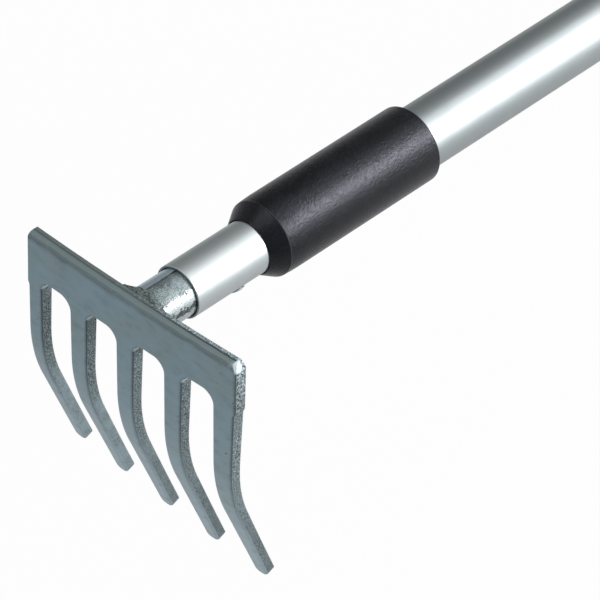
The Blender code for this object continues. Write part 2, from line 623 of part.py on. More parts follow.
def make_lock_cone_nut(parent):
    """Tapered nut. Its key runs in the collet's slit, so the two turn together."""
    bore = THREAD_DIAMETER / 2 - THREAD_DEPTH + CLEARANCE
    taper = (COLLET_LARGE_BORE - COLLET_SMALL_BORE) / 2 / COLLET_LENGTH
    gap = CLEARANCE * math.sqrt(1.0 + taper ** 2)
    front = collet_bore(NUT_FROM_COLLET_END) - gap
    back = collet_bore(NUT_FROM_COLLET_END + NUT_LENGTH) - gap
    profile = [(front, 0.0), (back, NUT_LENGTH)]
    profile += [(bore, y) for y in reversed(ring_places(0.0, NUT_LENGTH))]
    bm = turned(profile, SMALL_STEPS)
    for vert in bm.verts:
        if math.hypot(vert.co.x, vert.co.z) < bore + TOLERANCE:
            grow = 1.0 + THREAD_DEPTH * thread_height(vert, NUT_START) / bore
            vert.co.x *= grow
            vert.co.z *= grow
    brass = finish("nut_brass", (0.72, 0.55, 0.28), 0.35, 0.9)
    nut = piece("lock_cone_nut", bm, brass, parent, y=NUT_START)
    key_width = COLLET_SLIT_WIDTH - 2.0 * CLEARANCE
    inside = front - NUT_KEY_DEPTH
    outside = back + NUT_KEY_DEPTH
    middle = NUT_LENGTH / 2
    key = box((key_width, NUT_KEY_LENGTH, outside - inside), (0.0, middle, (inside + outside) / 2))
    cutter("nut_key", key, parent, nut, y=NUT_START, operation="UNION")
    return nut


def make_lock_stop(parent):
    """Washer and screw that keep the collet on the lock's screw."""
    hole = STOP_SCREW_DIAMETER / 2 + CLEARANCE
    washer_start = SCREW_END + CLEARANCE
    washer = [(hole, 0.0), (hole, STOP_WASHER_THICKNESS),
              (STOP_WASHER_DIAMETER / 2, STOP_WASHER_THICKNESS), (STOP_WASHER_DIAMETER / 2, 0.0)]
    steel = finish("washer_steel", (0.62, 0.63, 0.64), 0.35, 0.95)
    piece("lock_stop_washer", turned(washer), steel, parent, y=washer_start)

    head_start = washer_start + STOP_WASHER_THICKNESS + CLEARANCE
    stem = STOP_SCREW_LENGTH - STOP_WASHER_THICKNESS - 3.0 * CLEARANCE
    head = STOP_SCREW_HEAD_DIAMETER / 2
    tall = STOP_SCREW_HEAD_HEIGHT
    stem_start = -(stem + STOP_WASHER_THICKNESS + CLEARANCE)
    profile = [(0.0, stem_start), (STOP_SCREW_DIAMETER / 2, stem_start),
               (STOP_SCREW_DIAMETER / 2, 0.0), (head, 0.0), (head, tall - STOP_SCREW_HEAD_BEVEL),
               (head - STOP_SCREW_HEAD_BEVEL, tall), (0.0, tall)]
    zinc = finish("stop_screw_steel", (0.60, 0.61, 0.62), 0.3, 0.95)
    screw = piece("lock_stop_screw", turned(profile, SMALL_STEPS), zinc, parent, y=head_start)
    for name, turn in (("along", 0.0), ("across", 90.0)):
        slot = box((STOP_SCREW_RECESS_WIDTH, tall, head * 1.3), (0.0, tall, 0.0))
        bmesh.ops.rotate(slot, verts=slot.verts, cent=(0.0, 0.0, 0.0),
                         matrix=Matrix.Rotation(math.radians(turn), 3, "Y"))
        cutter("screw_recess_" + name, slot, parent, screw, y=head_start)
    return screw


def make_outer_tube(parent):
    ends = [(OUTER_RADIUS, 0.0), (OUTER_RADIUS, OUTER_TUBE_LENGTH),
            (OUTER_BORE_RADIUS, OUTER_TUBE_LENGTH), (OUTER_BORE_RADIUS, 0.0)]
    alloy = finish("satin_aluminium_outer", (0.70, 0.71, 0.72), 0.34, 0.95)
    return piece("outer_tube", turned(ends), alloy, parent, y=OUTER_TUBE_START)


def make_collar(parent):
    """Moulded sleeve: a cone-shaped nose over the inner tube that swells into a straight body, a
    shoulder that the outer tube butts on, and a skirt round the outer tube."""
    mouth = INNER_RADIUS + CLEARANCE
    skirt = OUTER_RADIUS + CLEARANCE
    outer = COLLAR_DIAMETER / 2
    lip = mouth + COLLAR_NOSE_LIP
    ridge = lip + COLLAR_NOSE_RISE
    taper_steps = 4
    nose = [(lip, 0.0), (ridge, COLLAR_NOSE_LENGTH)]
    for step in range(1, taper_steps + 1):
        share = step / taper_steps
        nose.append((outer - (outer - ridge) * (1.0 - share) ** 2,
                     COLLAR_NOSE_LENGTH + COLLAR_TAPER_LENGTH * share))
    profile = [(mouth, 0.0)] + nose
    profile += quarter_round(outer, COLLAR_LENGTH, COLLAR_EDGE_RADIUS)
    profile += [(skirt, COLLAR_LENGTH), (skirt, COLLAR_SHOULDER), (mouth, COLLAR_SHOULDER)]
    black = finish("collar_black", (0.035, 0.037, 0.042), 0.55, 0.0)
    return piece("collar", turned(profile), black, parent, y=COLLAR_START)


def make_grip(parent):
    """Soft moulded grip with a bead at each end and shallow finger grooves between them."""
    bore = OUTER_RADIUS + CLEARANCE
    body = bore + GRIP_WALL
    bead = GRIP_RADIUS
    edge = min(GRIP_WALL, GRIP_END_BEAD_LENGTH) / 3
    profile = [(bore, 0.0)] + list(reversed([(r, -y) for r, y in quarter_round(bead, 0.0, edge, 3)]))
    ribbed_start = GRIP_END_BEAD_LENGTH + GRIP_BEAD_SLOPE
    profile += [(bead, GRIP_END_BEAD_LENGTH), (body, ribbed_start)]
    ribbed_length = GRIP_LENGTH - 2.0 * ribbed_start
    spacing = ribbed_length / GRIP_GROOVE_COUNT
    for groove in range(GRIP_GROOVE_COUNT):
        middle = ribbed_start + spacing * (groove + 0.5)
        half = GRIP_GROOVE_WIDTH / 2
        profile += [(body, middle - half), (body - GRIP_GROOVE_DEPTH, middle), (body, middle + half)]
    profile += [(body, GRIP_LENGTH - ribbed_start), (bead, GRIP_LENGTH - GRIP_END_BEAD_LENGTH)]
    profile += quarter_round(bead, GRIP_LENGTH, edge, 3)
    profile += [(bore, GRIP_LENGTH)]
    rubber = finish("grip_black", (0.03, 0.03, 0.033), 0.75, 0.0)
    return piece("grip", turned(profile), rubber, parent, y=GRIP_START)


def make_end_cap(parent):
    """Plug for the tube's end, with a flat eye to hang the tool by."""
    insert = OUTER_BORE_RADIUS - CLEARANCE
    flange = CAP_FLANGE_DIAMETER / 2
    body = [(0.0, -CAP_INSERT_LENGTH), (insert - CAP_LEAD_IN, -CAP_INSERT_LENGTH),
            (insert, -CAP_INSERT_LENGTH + CAP_LEAD_IN), (insert, CLEARANCE), (flange, CLEARANCE)]
    body += quarter_round(flange, CLEARANCE + CAP_FLANGE_THICKNESS, CAP_FLANGE_THICKNESS / 3)
    body += [(0.0, CLEARANCE + CAP_FLANGE_THICKNESS)]
    black = finish("end_cap_black", (0.035, 0.037, 0.042), 0.5, 0.0)
    cap = piece("end_cap", turned(body), black, parent, y=OUTER_TUBE_END)

    half = CAP_EYE_WIDTH / 2
    straight = CAP_FLANGE_THICKNESS + CAP_EYE_LENGTH - half
    bm = bmesh.new()
    outline = [(half, 0.5 * CAP_FLANGE_THICKNESS)]
    outline += arc((0.0, straight), half, 0.0, 180.0, 16)
    outline += [(-half, 0.5 * CAP_FLANGE_THICKNESS)]
    face = bm.faces.new([bm.verts.new((x, y, -CAP_EYE_THICKNESS / 2)) for x, y in outline])
    top = bmesh.ops.extrude_face_region(bm, geom=[face], use_keep_orig=True)
    raised = [item for item in top["geom"] if isinstance(item, bmesh.types.BMVert)]
    bmesh.ops.translate(bm, vec=(0.0, 0.0, CAP_EYE_THICKNESS), verts=raised)
    cutter("cap_eye", bm, parent, cap, y=OUTER_TUBE_END, operation="UNION")

    depth = CAP_EYE_THICKNESS * 2.0
    hole = turned([(0.0, -depth / 2), (CAP_HOLE_DIAMETER / 2, -depth / 2),
                   (CAP_HOLE_DIAMETER / 2, depth / 2), (0.0, depth / 2)], SMALL_STEPS)
    bmesh.ops.rotate(hole, verts=hole.verts, cent=(0.0, 0.0, 0.0),
                     matrix=Matrix.Rotation(math.radians(90.0), 3, "X"))
    bmesh.ops.translate(hole, vec=(0.0, straight, 0.0), verts=hole.verts)
    cutter("cap_hole", hole, parent, cap, y=OUTER_TUBE_END)
    return cap


def tine_tip(index):
    """The middle of a tine's tip on the front face."""
    left, right = tine_edges(index)
    reach = TINE_REACH + from_middle(index) * TINE_REACH_STEP
    return pressed(Vector(((left + right) / 2, -PLATE_THICKNESS, -reach)))


def lay_on_floor(tool):
    """Rolls and tilts the tool until the tips of its tines and the end of its grip touch the
    floor, and centres its box on the origin."""
    first_tip = tine_tip(0)
    last_tip = tine_tip(TINE_COUNT - 1)
    roll = math.atan2(last_tip.z - first_tip.z, last_tip.x - first_tip.x)
    level = Matrix.Rotation(roll, 4, "Y")
    tip = level @ last_tip
    grip_end = Vector((0.0, OUTER_TUBE_END, -GRIP_RADIUS))
    tilt = -math.atan2(grip_end.z - tip.z, grip_end.y - tip.y)
    tool.rotation_mode = "YXZ"
    tool.rotation_euler = (tilt, roll, 0.0)
    depsgraph = bpy.context.evaluated_depsgraph_get()
    corners = []
    for child in tool.children:
        if not child.hide_render and child.type == "MESH":
            cut = child.evaluated_get(depsgraph)
            corners += [cut.matrix_world @ vert.co for vert in cut.data.vertices]
    low = [min(corner[axis] for corner in corners) for axis in range(3)]
    high = [max(corner[axis] for corner in corners) for axis in range(3)]
    tool.location = (-(low[0] + high[0]) / 2, -(low[1] + high[1]) / 2, -low[2])


def make_tool():
    clear_scene()
    tool = bpy.data.objects.new("tool", None)
    bpy.context.scene.collection.objects.link(tool)
    make_rake_head(tool)
    make_shank(tool)
    make_weld_bead(tool)
    make_inner_tube(tool)
    make_rivet(tool)
    make_lock_plug(tool)
    make_lock_screw(tool)
    make_lock_collet(tool)
    make_lock_drag_ring(tool)
    make_lock_cone_nut(tool)
    make_lock_stop(tool)
    make_outer_tube(tool)
    make_collar(tool)
    make_grip(tool)
    make_end_cap(tool)
    lay_on_floor(tool)


make_tool()
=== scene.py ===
"""Looks of the telescopic shrub rake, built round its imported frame."""
import json
import math

import bmesh
import bpy
from mathutils import Matrix, Vector


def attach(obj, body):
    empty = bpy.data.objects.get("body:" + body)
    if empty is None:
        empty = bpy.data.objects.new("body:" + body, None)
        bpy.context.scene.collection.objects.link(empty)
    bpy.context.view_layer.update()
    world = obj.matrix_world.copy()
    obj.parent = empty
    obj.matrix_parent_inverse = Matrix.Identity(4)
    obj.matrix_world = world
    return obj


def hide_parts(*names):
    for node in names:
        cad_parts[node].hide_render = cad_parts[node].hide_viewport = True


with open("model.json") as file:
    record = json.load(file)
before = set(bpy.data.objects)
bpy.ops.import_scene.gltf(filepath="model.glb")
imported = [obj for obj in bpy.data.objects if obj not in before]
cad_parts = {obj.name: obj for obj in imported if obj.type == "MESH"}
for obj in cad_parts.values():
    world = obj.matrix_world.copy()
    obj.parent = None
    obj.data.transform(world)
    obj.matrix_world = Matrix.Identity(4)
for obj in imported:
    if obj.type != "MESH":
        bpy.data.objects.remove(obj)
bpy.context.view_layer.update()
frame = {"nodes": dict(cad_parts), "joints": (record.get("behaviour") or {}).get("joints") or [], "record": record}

# The handle's own directions
# The tool lies tilted and rolled on the tips of its tines. The lock's joint gives the handle's
# axis, and the hanging eye's upper face gives the direction that is square to the eye. FIT is the
# gap between pieces that touch in the real tool.
twist = next(joint for joint in frame["joints"] if joint["name"] == "lock_twist")
eye_face = next(mount for mount in frame["record"]["mounts"] if mount["name"] == "eye_upper_face")
along = Vector(twist["axis"]).normalized()
across = along.cross(Vector(eye_face["axis"])).normalized()
upward = across.cross(along)
turn = Matrix((across, along, upward)).transposed().to_4x4()
MM = 0.001
FIT = 0.3 * MM


def handle_box(node, place):
    """Lowest and highest corner of a CAD node, along the directions of a placed handle."""
    points = [place.inverted() @ vert.co for vert in frame["nodes"][node].data.vertices]
    low = Vector(min(point[axis] for point in points) for axis in range(3))
    high = Vector(max(point[axis] for point in points) for axis in range(3))
    return low, high


HANDLE = Matrix.Translation(twist["pos_m"]) @ turn
SHANK_FOOT = handle_box("shank", HANDLE)[0].y
HANDLE = HANDLE @ Matrix.Translation((0.0, SHANK_FOOT - FIT, 0.0))


# Stamped head
# Steel plate, blanked with five tines, bent back towards the user and zinc plated. The punch rolls
# its front edges over and leaves the cut sides torn and speckled.
HEAD_WIDTH = 102.2 * MM
HEAD_OFFSET = -0.3 * MM
HEAD_LEFT = HEAD_OFFSET - HEAD_WIDTH / 2
HEAD_RIGHT = HEAD_OFFSET + HEAD_WIDTH / 2
PLATE_THICKNESS = 6.0 * MM
PLATE_TOP_HEIGHT = 10.3 * MM
BAR_HEIGHT = 17.3 * MM
TOP_CORNER_WIDTH = 2.4 * MM
TOP_CORNER_HEIGHT = 2.15 * MM
END_STEP_DROP = 21.0 * MM
END_STEP_DEPTH = 0.7 * MM
FRONT_EDGE_RADIUS = 1.4 * MM
TOP_EDGE_ROLL = 3.9 * MM
END_SWEEP = 0.96 * MM
TINE_COUNT = 5
TINE_PITCH = 23.3 * MM
TINE_OFFSET = -1.7 * MM
SLOT_WIDTH = 15.0 * MM
SLOT_CORNER_RADIUS = 5.0 * MM
TINE_REACH = 103.9 * MM
TINE_REACH_STEP = 1.6 * MM
TINE_TIP_WIDTH = 6.2 * MM
TINE_TIP_THICKNESS = 4.4 * MM
TINE_TIP_RADIUS = 2.6 * MM
TINE_BEND_START = 33.2 * MM
TINE_BEND_STEP = 1.6 * MM
TINE_BEND_RADIUS = 70.0 * MM
TINE_BEND_ANGLE = math.radians(22.5)
BACK_EDGE_RADIUS = 0.35 * MM


class Value:
    """What a node gives: a number, colour or shader. Arithmetic on numbers adds Math nodes."""

    def __init__(self, finish, socket):
        self.finish = finish
        self.socket = socket

    def maths(self, operation, *others):
        sockets = dict(enumerate((self, *others)))
        return self.finish.node("ShaderNodeMath", {"operation": operation}, sockets)

    def __add__(self, other):
        return self.maths("ADD", other)

    def __sub__(self, other):
        return self.maths("SUBTRACT", other)

    def __rsub__(self, other):
        return self.finish.node("ShaderNodeMath", {"operation": "SUBTRACT"}, {0: other, 1: self})

    def __mul__(self, other):
        return self.maths("MULTIPLY", other)

    __radd__ = __add__
    __rmul__ = __mul__

    def above(self, low, high):
        """Rises smoothly from 0 at the low value to 1 at the high one."""
        sockets = {"Value": self, "From Min": low, "From Max": high}
        settings = {"interpolation_type": "SMOOTHSTEP", "clamp": True}
        return self.finish.node("ShaderNodeMapRange", settings, sockets)


class Finish:
    """A material whose sockets take plain values, or values that nodes work out."""

    def __init__(self, name, roughness=0.5, metallic=0.0):
        self.material = bpy.data.materials.new(name)
        self.material.use_nodes = True
        self.tree = self.material.node_tree
        self.shader = self.tree.nodes["Principled BSDF"]
        self.shader.inputs["Roughness"].default_value = roughness
        self.shader.inputs["Metallic"].default_value = metallic

    def fill(self, socket, value):
        if isinstance(value, Value):
            self.tree.links.new(value.socket, socket)
        else:
            socket.default_value = value

    def node(self, kind, settings, sockets, output=0):
        """Adds a node: its settings first, then the values or links of its sockets."""
        made = self.tree.nodes.new(kind)
        for name, setting in settings.items():
            setattr(made, name, setting)
        for name, value in sockets.items():
            self.fill(made.inputs[name], value)
        return Value(self, made.outputs[output])

    def place(self):
        """Where a point lies along the handle's directions, from the foot of the shank."""
        world = self.node("ShaderNodeTexCoord", {}, {}, "Object")
        sockets = {"Vector": world, "Location": HANDLE.translation, "Rotation": HANDLE.to_euler()}
        return self.node("ShaderNodeMapping", {"vector_type": "TEXTURE"}, sockets)

    def stretched(self, scale):
        return self.node("ShaderNodeVectorMath", {"operation": "MULTIPLY"},
                         {0: self.place(), 1: scale})

    def part_of(self, vector, axis):
        return self.node("ShaderNodeSeparateXYZ", {}, {"Vector": vector}, axis)

    def noise(self, size, detail=2.0, roughness=0.5, stretch=(1.0, 1.0, 1.0)):
        """Noise whose features are about this large, in metres."""
        sockets = {"Vector": self.stretched(stretch), "Scale": 1.0 / size, "Detail": detail,
                   "Roughness": roughness}
        return self.node("ShaderNodeTexNoise", {}, sockets, "Fac")

    def mark(self, name):
        """A number that the mesh carries at each point."""
        return self.node("ShaderNodeAttribute", {"attribute_name": name}, {}, "Fac")

    def opaque(self, colour):
        """Gives a plain colour its fourth number, and leaves a worked-out one as it is."""
        return colour if isinstance(colour, Value) else (*colour, 1.0)

    def mix(self, factor, first, second):
        """Blends two colours."""
        settings = {"data_type": "RGBA", "clamp_factor": True}
        sockets = {0: factor, 6: self.opaque(first), 7: self.opaque(second)}
        return self.node("ShaderNodeMix", settings, sockets, 2)

    def colour(self, value):
        self.fill(self.shader.inputs["Base Color"], self.opaque(value))

    def rough(self, value):
        self.fill(self.shader.inputs["Roughness"], value)

    def metal(self, value):
        self.fill(self.shader.inputs["Metallic"], value)

    def bump(self, height, depth):
        """Raises the surface by height, a number from 0 to 1, times depth in metres."""
        sockets = {"Strength": 1.0, "Distance": depth, "Height": height}
        normal = self.node("ShaderNodeBump", {}, sockets, "Normal")
        self.fill(self.shader.inputs["Normal"], normal)


def piece(name, bm, finishes, body, replaced, sharp=40.0):
    bmesh.ops.recalc_face_normals(bm, faces=bm.faces)
    mesh = bpy.data.meshes.new(name)
    bm.to_mesh(mesh)
    bm.free()
    mesh.transform(HANDLE)
    mesh.shade_smooth()
    mesh.set_sharp_from_angle(angle=math.radians(sharp))
    for finish in finishes:
        mesh.materials.append(finish.material)
    made = bpy.data.objects.new(name, mesh)
    bpy.context.scene.collection.objects.link(made)
    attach(made, body)
    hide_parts(*replaced)


def arc(centre, radius, start, end, steps=10):
    """Points of an arc from one angle to another, in degrees."""
    angles = [math.radians(start + (end - start) * step / steps) for step in range(steps + 1)]
    return [(centre[0] + radius * math.cos(a), centre[1] + radius * math.sin(a)) for a in angles]


def from_middle(index):
    return index - (TINE_COUNT - 1) / 2


def tine_centre(index):
    return from_middle(index) * TINE_PITCH + TINE_OFFSET


def tine_edges(index):
    half_width = (TINE_PITCH - SLOT_WIDTH) / 2
    left = HEAD_LEFT + END_STEP_DEPTH if index == 0 else tine_centre(index) - half_width
    last = index == TINE_COUNT - 1
    right = HEAD_RIGHT - END_STEP_DEPTH if last else tine_centre(index) + half_width
    return left, right


def blank_outline():
    """The head's outline before it is bent, as (x, z) points clockwise from its top left."""
    step_height = PLATE_TOP_HEIGHT - END_STEP_DROP
    step_slope = 2.0 * END_STEP_DEPTH
    slot_top = PLATE_TOP_HEIGHT - BAR_HEIGHT
    points = [(HEAD_LEFT, PLATE_TOP_HEIGHT), (HEAD_RIGHT - TOP_CORNER_WIDTH, PLATE_TOP_HEIGHT),
              (HEAD_RIGHT, PLATE_TOP_HEIGHT - TOP_CORNER_HEIGHT), (HEAD_RIGHT, step_height),
              (HEAD_RIGHT - END_STEP_DEPTH, step_height - step_slope)]
    for index in reversed(range(TINE_COUNT)):
        left, right = tine_edges(index)
        middle = (left + right) / 2
        reach = TINE_REACH + from_middle(index) * TINE_REACH_STEP
        inset = TINE_TIP_WIDTH / 2 - TINE_TIP_RADIUS
        tip = -reach + TINE_TIP_RADIUS
        points += arc((middle + inset, tip), TINE_TIP_RADIUS, 0.0, -90.0)
        points += arc((middle - inset, tip), TINE_TIP_RADIUS, -90.0, -180.0)
        if index > 0:
            slot_left = tine_edges(index - 1)[1]
            radius = SLOT_CORNER_RADIUS
            points += arc((left - radius, slot_top - radius), radius, 0.0, 90.0)
            points += arc((slot_left + radius, slot_top - radius), radius, 90.0, 180.0)
    points += [(HEAD_LEFT + END_STEP_DEPTH, step_height - step_slope), (HEAD_LEFT, step_height)]
    return points


def rolled_depth(point):
    """Distance behind the front face. The punch rolls the top edge over further than the rest."""
    depth = point.y + PLATE_THICKNESS
    if point.z < PLATE_TOP_HEIGHT - FRONT_EDGE_RADIUS:
        return depth
    if depth < FRONT_EDGE_RADIUS:
        return depth * TOP_EDGE_ROLL / FRONT_EDGE_RADIUS
    behind = (depth - FRONT_EDGE_RADIUS) / (PLATE_THICKNESS - FRONT_EDGE_RADIUS)
    return TOP_EDGE_ROLL + (PLATE_THICKNESS - TOP_EDGE_ROLL) * behind


def pressed(point):
    """Where a point of the flat blank goes when the tines are bent and drawn out, the top edge is
    rolled over and the ends are swept back."""
    drop = -point.z
    root = BAR_HEIGHT - PLATE_TOP_HEIGHT
    share = min(max((drop - root) / (TINE_REACH - root), 0.0), 1.0)
    thin = TINE_TIP_THICKNESS + (PLATE_THICKNESS - TINE_TIP_THICKNESS) * (1.0 - share) ** 2
    depth = rolled_depth(point) * thin / PLATE_THICKNESS
    bend_start = TINE_BEND_START + TINE_BEND_STEP * (point.x - TINE_OFFSET) / TINE_PITCH
    bent = max(drop - bend_start, 0.0)
    angle = min(bent / TINE_BEND_RADIUS, TINE_BEND_ANGLE)
    straight = bent - angle * TINE_BEND_RADIUS
    back = TINE_BEND_RADIUS * (1.0 - math.cos(angle)) + straight * math.sin(angle)
    down = min(drop, bend_start) + TINE_BEND_RADIUS * math.sin(angle) + straight * math.cos(angle)
    sweep = END_SWEEP * (2.0 * (point.x - HEAD_OFFSET) / HEAD_WIDTH) ** 2
    return Vector((point.x, -PLATE_THICKNESS + back + depth * math.cos(angle) + sweep,
                   -down + depth * math.sin(angle)))


MERGE_DISTANCE = 0.001 * MM


def cut_through(bm, point, normal, clear_outer=False):
    """Adds a ring of edges where a plane crosses the mesh, and may clear what lies beyond it."""
    geometry = list(bm.verts) + list(bm.edges) + list(bm.faces)
    bmesh.ops.bisect_plane(bm, geom=geometry, dist=MERGE_DISTANCE, plane_co=point,
                           plane_no=normal, clear_outer=clear_outer)


head = bmesh.new()
front = head.faces.new([head.verts.new((x, -PLATE_THICKNESS, z)) for x, z in blank_outline()])
front_rim = list(front.edges)
raised = bmesh.ops.extrude_face_region(head, geom=[front], use_keep_orig=True)["geom"]
back_verts = [item for item in raised if isinstance(item, bmesh.types.BMVert)]
back_rim = [item for item in raised if isinstance(item, bmesh.types.BMEdge)]
bmesh.ops.translate(head, vec=(0.0, PLATE_THICKNESS, 0.0), verts=back_verts)
bmesh.ops.recalc_face_normals(head, faces=head.faces)
bmesh.ops.bevel(head, geom=front_rim, offset=FRONT_EDGE_RADIUS, offset_type="OFFSET", segments=6,
                profile=0.5, affect="EDGES", material=-1, clamp_overlap=False)
bmesh.ops.bevel(head, geom=[edge for edge in back_rim if edge.is_valid], offset=BACK_EDGE_RADIUS,
                offset_type="OFFSET", segments=2, profile=0.5, affect="EDGES", material=-1,
                clamp_overlap=False)
BEND_LENGTH = TINE_BEND_RADIUS * TINE_BEND_ANGLE
BEND_CUTS = 24
BEND_MARGIN = 0.1
ABOVE_BEND_CUTS = (0.35, 0.55, 0.75)
BELOW_BEND_CUTS = 4
BELOW_BEND_SPACING = 10.0 * MM
bend_shares = [step / BEND_CUTS * (1.0 + 2.0 * BEND_MARGIN) - BEND_MARGIN
               for step in range(BEND_CUTS + 1)]
levels = [TINE_BEND_START * share for share in ABOVE_BEND_CUTS]
levels += [TINE_BEND_START + BEND_LENGTH * share for share in bend_shares]
levels += [TINE_BEND_START + BEND_LENGTH + BELOW_BEND_SPACING * step
           for step in range(1, BELOW_BEND_CUTS + 1)]
for level in levels:
    cut_through(head, (0.0, 0.0, -level), (0.0, 0.0, 1.0))
WIDTH_CUTS = 26
for step in range(1, WIDTH_CUTS):
    cut_through(head, (HEAD_LEFT + HEAD_WIDTH * step / WIDTH_CUTS, 0.0, 0.0), (1.0, 0.0, 0.0))
DEPTH_CUTS = (2.2 * MM, 3.4 * MM, 4.6 * MM)
for depth in DEPTH_CUTS:
    cut_through(head, (0.0, -PLATE_THICKNESS + depth, 0.0), (0.0, 1.0, 0.0))
bmesh.ops.triangulate(head, faces=head.faces, quad_method="BEAUTY", ngon_method="BEAUTY")
cut_mark = head.verts.layers.float.new("cut")
top_mark = head.verts.layers.float.new("top")
roll_start = PLATE_TOP_HEIGHT - FRONT_EDGE_RADIUS
for vert in head.verts:
    depth = vert.co.y + PLATE_THICKNESS
    at_top = vert.co.z > PLATE_TOP_HEIGHT - 0.5 * FRONT_EDGE_RADIUS
    start = FRONT_EDGE_RADIUS if at_top else 0.0
    vert[cut_mark] = max(depth - start, 0.0) / (PLATE_THICKNESS - start)
    vert[top_mark] = min(depth / FRONT_EDGE_RADIUS, 1.0) if vert.co.z > roll_start else 0.0
    vert.co = pressed(vert.co)

ZINC_BLUE = (0.345, 0.480, 0.552)
ZINC_SAGE = (0.335, 0.460, 0.495)
PAINTED_PALE_ZINC = (0.515, 0.655, 0.715)
# Painted shade on the head, also the dark of nicks and scuffs.
PAINTED_SHADE_AND_SCUFF_DARK = (0.040, 0.055, 0.058)
PAINTED_ROLL_SAGE = (0.190, 0.238, 0.232)
PAINTED_ROLL_SHADE = (0.090, 0.112, 0.104)
RIM_SAGE = (0.165, 0.202, 0.194)
CUT_DARK = (0.030, 0.040, 0.042)
CUT_MIDDLE = (0.230, 0.295, 0.310)
CUT_BRIGHT = (0.560, 0.650, 0.680)
CUT_BLUE = (0.330, 0.425, 0.460)
PAINTED_GLINT_LIGHT = (0.560, 0.660, 0.720)

# What the patterns follow. The cut mark runs from 0 at the front face to 1 at the back, and the top
# mark from 0 to 1 over the rolled top edge.
plating = Finish("zinc_plated_steel", roughness=0.42, metallic=0.55)
spot = plating.place()
height = plating.part_of(spot, "Z")
sideways = plating.part_of(spot, "X")
cut = plating.mark("cut")
top = plating.mark("top")
ragged = plating.noise(1.1 * MM, detail=2.0, roughness=0.6)
fine = plating.noise(0.55 * MM, detail=2.0, roughness=0.8)
coarse = plating.noise(1.3 * MM, detail=2.0, roughness=0.6)
clouds = plating.noise(14.0 * MM, detail=3.0)
waves = plating.noise(5.0 * MM, detail=2.0)
streaks = plating.noise(3.2 * MM, detail=3.0, roughness=0.6, stretch=(0.45, 1.0, 1.0)) - 0.5

# The zinc shades from blue to sage, and painted reflection makes it paler towards the bent tips. Painted
# shade darkens it beside the cut faces, just under the top edge and in a trough and a crease along the
# rolled top edge, whose ridge is painted a sage tone in place of its reflection. It has a few nicks.
TIP_HEIGHT = -85.0 * MM
WORN_FROM = -25.0 * MM
PALE_FROM = -5.0 * MM
torn = (cut + (ragged - 0.5) * 0.08).above(0.15, 0.28) * (1.0 - cut.above(0.95, 0.99))
low = 1.0 - height.above(TIP_HEIGHT, WORN_FROM)
# Painted reflection: the zinc is painted paler towards the bent tips.
painted_pale_tips = 1.0 - height.above(TIP_HEIGHT, PALE_FROM)
# Painted shade on the rounded front edges beside the cut faces, fading towards the tips.
painted_edge_shading = (cut + (ragged - 0.5) * 0.05).above(0.0, 0.16) * (1.0 - torn) * (1.0 - 0.7 * low)
# Painted shade just under the rolled top edge.
painted_shading_below_top = height.above(PLATE_TOP_HEIGHT - 2.4 * MM, PLATE_TOP_HEIGHT - 0.8 * MM)
right_half = sideways.above(0.0, 25.0 * MM)
# Painted shade in a trough and a crease along the rolled top edge, and a painted sage tone on its ridge in place
# of its reflection.
rolled = top + streaks * 0.22
painted_ridge_reflection = rolled.above(0.34, 0.62)
painted_trough_shading = rolled.above(-0.02, 0.16) * (1.0 - painted_ridge_reflection)
painted_crease_shading = (top + streaks * 0.1).above(0.84, 1.0)
nicks = plating.noise(1.9 * MM, detail=1.0).above(0.74, 0.79)
skin = plating.mix(clouds.above(0.38, 0.62), ZINC_BLUE, ZINC_SAGE)
skin = plating.mix(painted_pale_tips, skin, PAINTED_PALE_ZINC)
skin = plating.mix(painted_shading_below_top * 0.14, skin, PAINTED_SHADE_AND_SCUFF_DARK)
skin = plating.mix(painted_trough_shading * (0.72 + 0.08 * right_half), skin, PAINTED_ROLL_SHADE)
skin = plating.mix(painted_ridge_reflection * 0.75, skin, PAINTED_ROLL_SAGE)
skin = plating.mix(painted_crease_shading * (0.42 + 0.4 * right_half), skin, PAINTED_SHADE_AND_SCUFF_DARK)
skin = plating.mix(painted_edge_shading * 0.88, skin, PAINTED_SHADE_AND_SCUFF_DARK)
skin = plating.mix(nicks * 0.5, skin, PAINTED_SHADE_AND_SCUFF_DARK)

# The cut faces are speckled where the steel tore, bluer towards the tips, and plain along the left
# half of the top edge. The end face is painted lighter, a painted light from the right.
STEP_HEIGHT = PLATE_TOP_HEIGHT - END_STEP_DROP
STEP_BLUR = 1.0 * MM
right_end = sideways.above(HEAD_RIGHT - 2.5 * MM, HEAD_RIGHT - 1.2 * MM)
top_face = top.above(0.90, 1.0)
above_step = height.above(STEP_HEIGHT - STEP_BLUR, STEP_HEIGHT + STEP_BLUR)
plain_rim = top_face * (1.0 - sideways.above(-6.0 * MM, 14.0 * MM))
worn = low.above(0.1, 0.6) * (0.45 + 0.4 * waves.above(0.35, 0.65))
worn = worn * (1.0 - 0.60 * sideways.above(-20.0 * MM, 20.0 * MM))
dulled = low * 0.30 * sideways.above(-40.0 * MM, 10.0 * MM)
speckle = fine + right_end * above_step * (coarse - 0.5) * 0.9
# Painted light on the end face; the right half of the top edge is lighter too.
speckle = speckle + 0.03 * right_end + 0.08 * top_face * right_half
face = plating.mix(speckle.above(0.38, 0.56), CUT_DARK, CUT_MIDDLE)
face = plating.mix(speckle.above(0.58, 0.70), face, CUT_BRIGHT)
face = plating.mix(plain_rim * 0.8, face, RIM_SAGE)
face = plating.mix(worn, face, CUT_BLUE)
face = plating.mix(dulled, face, CUT_DARK)

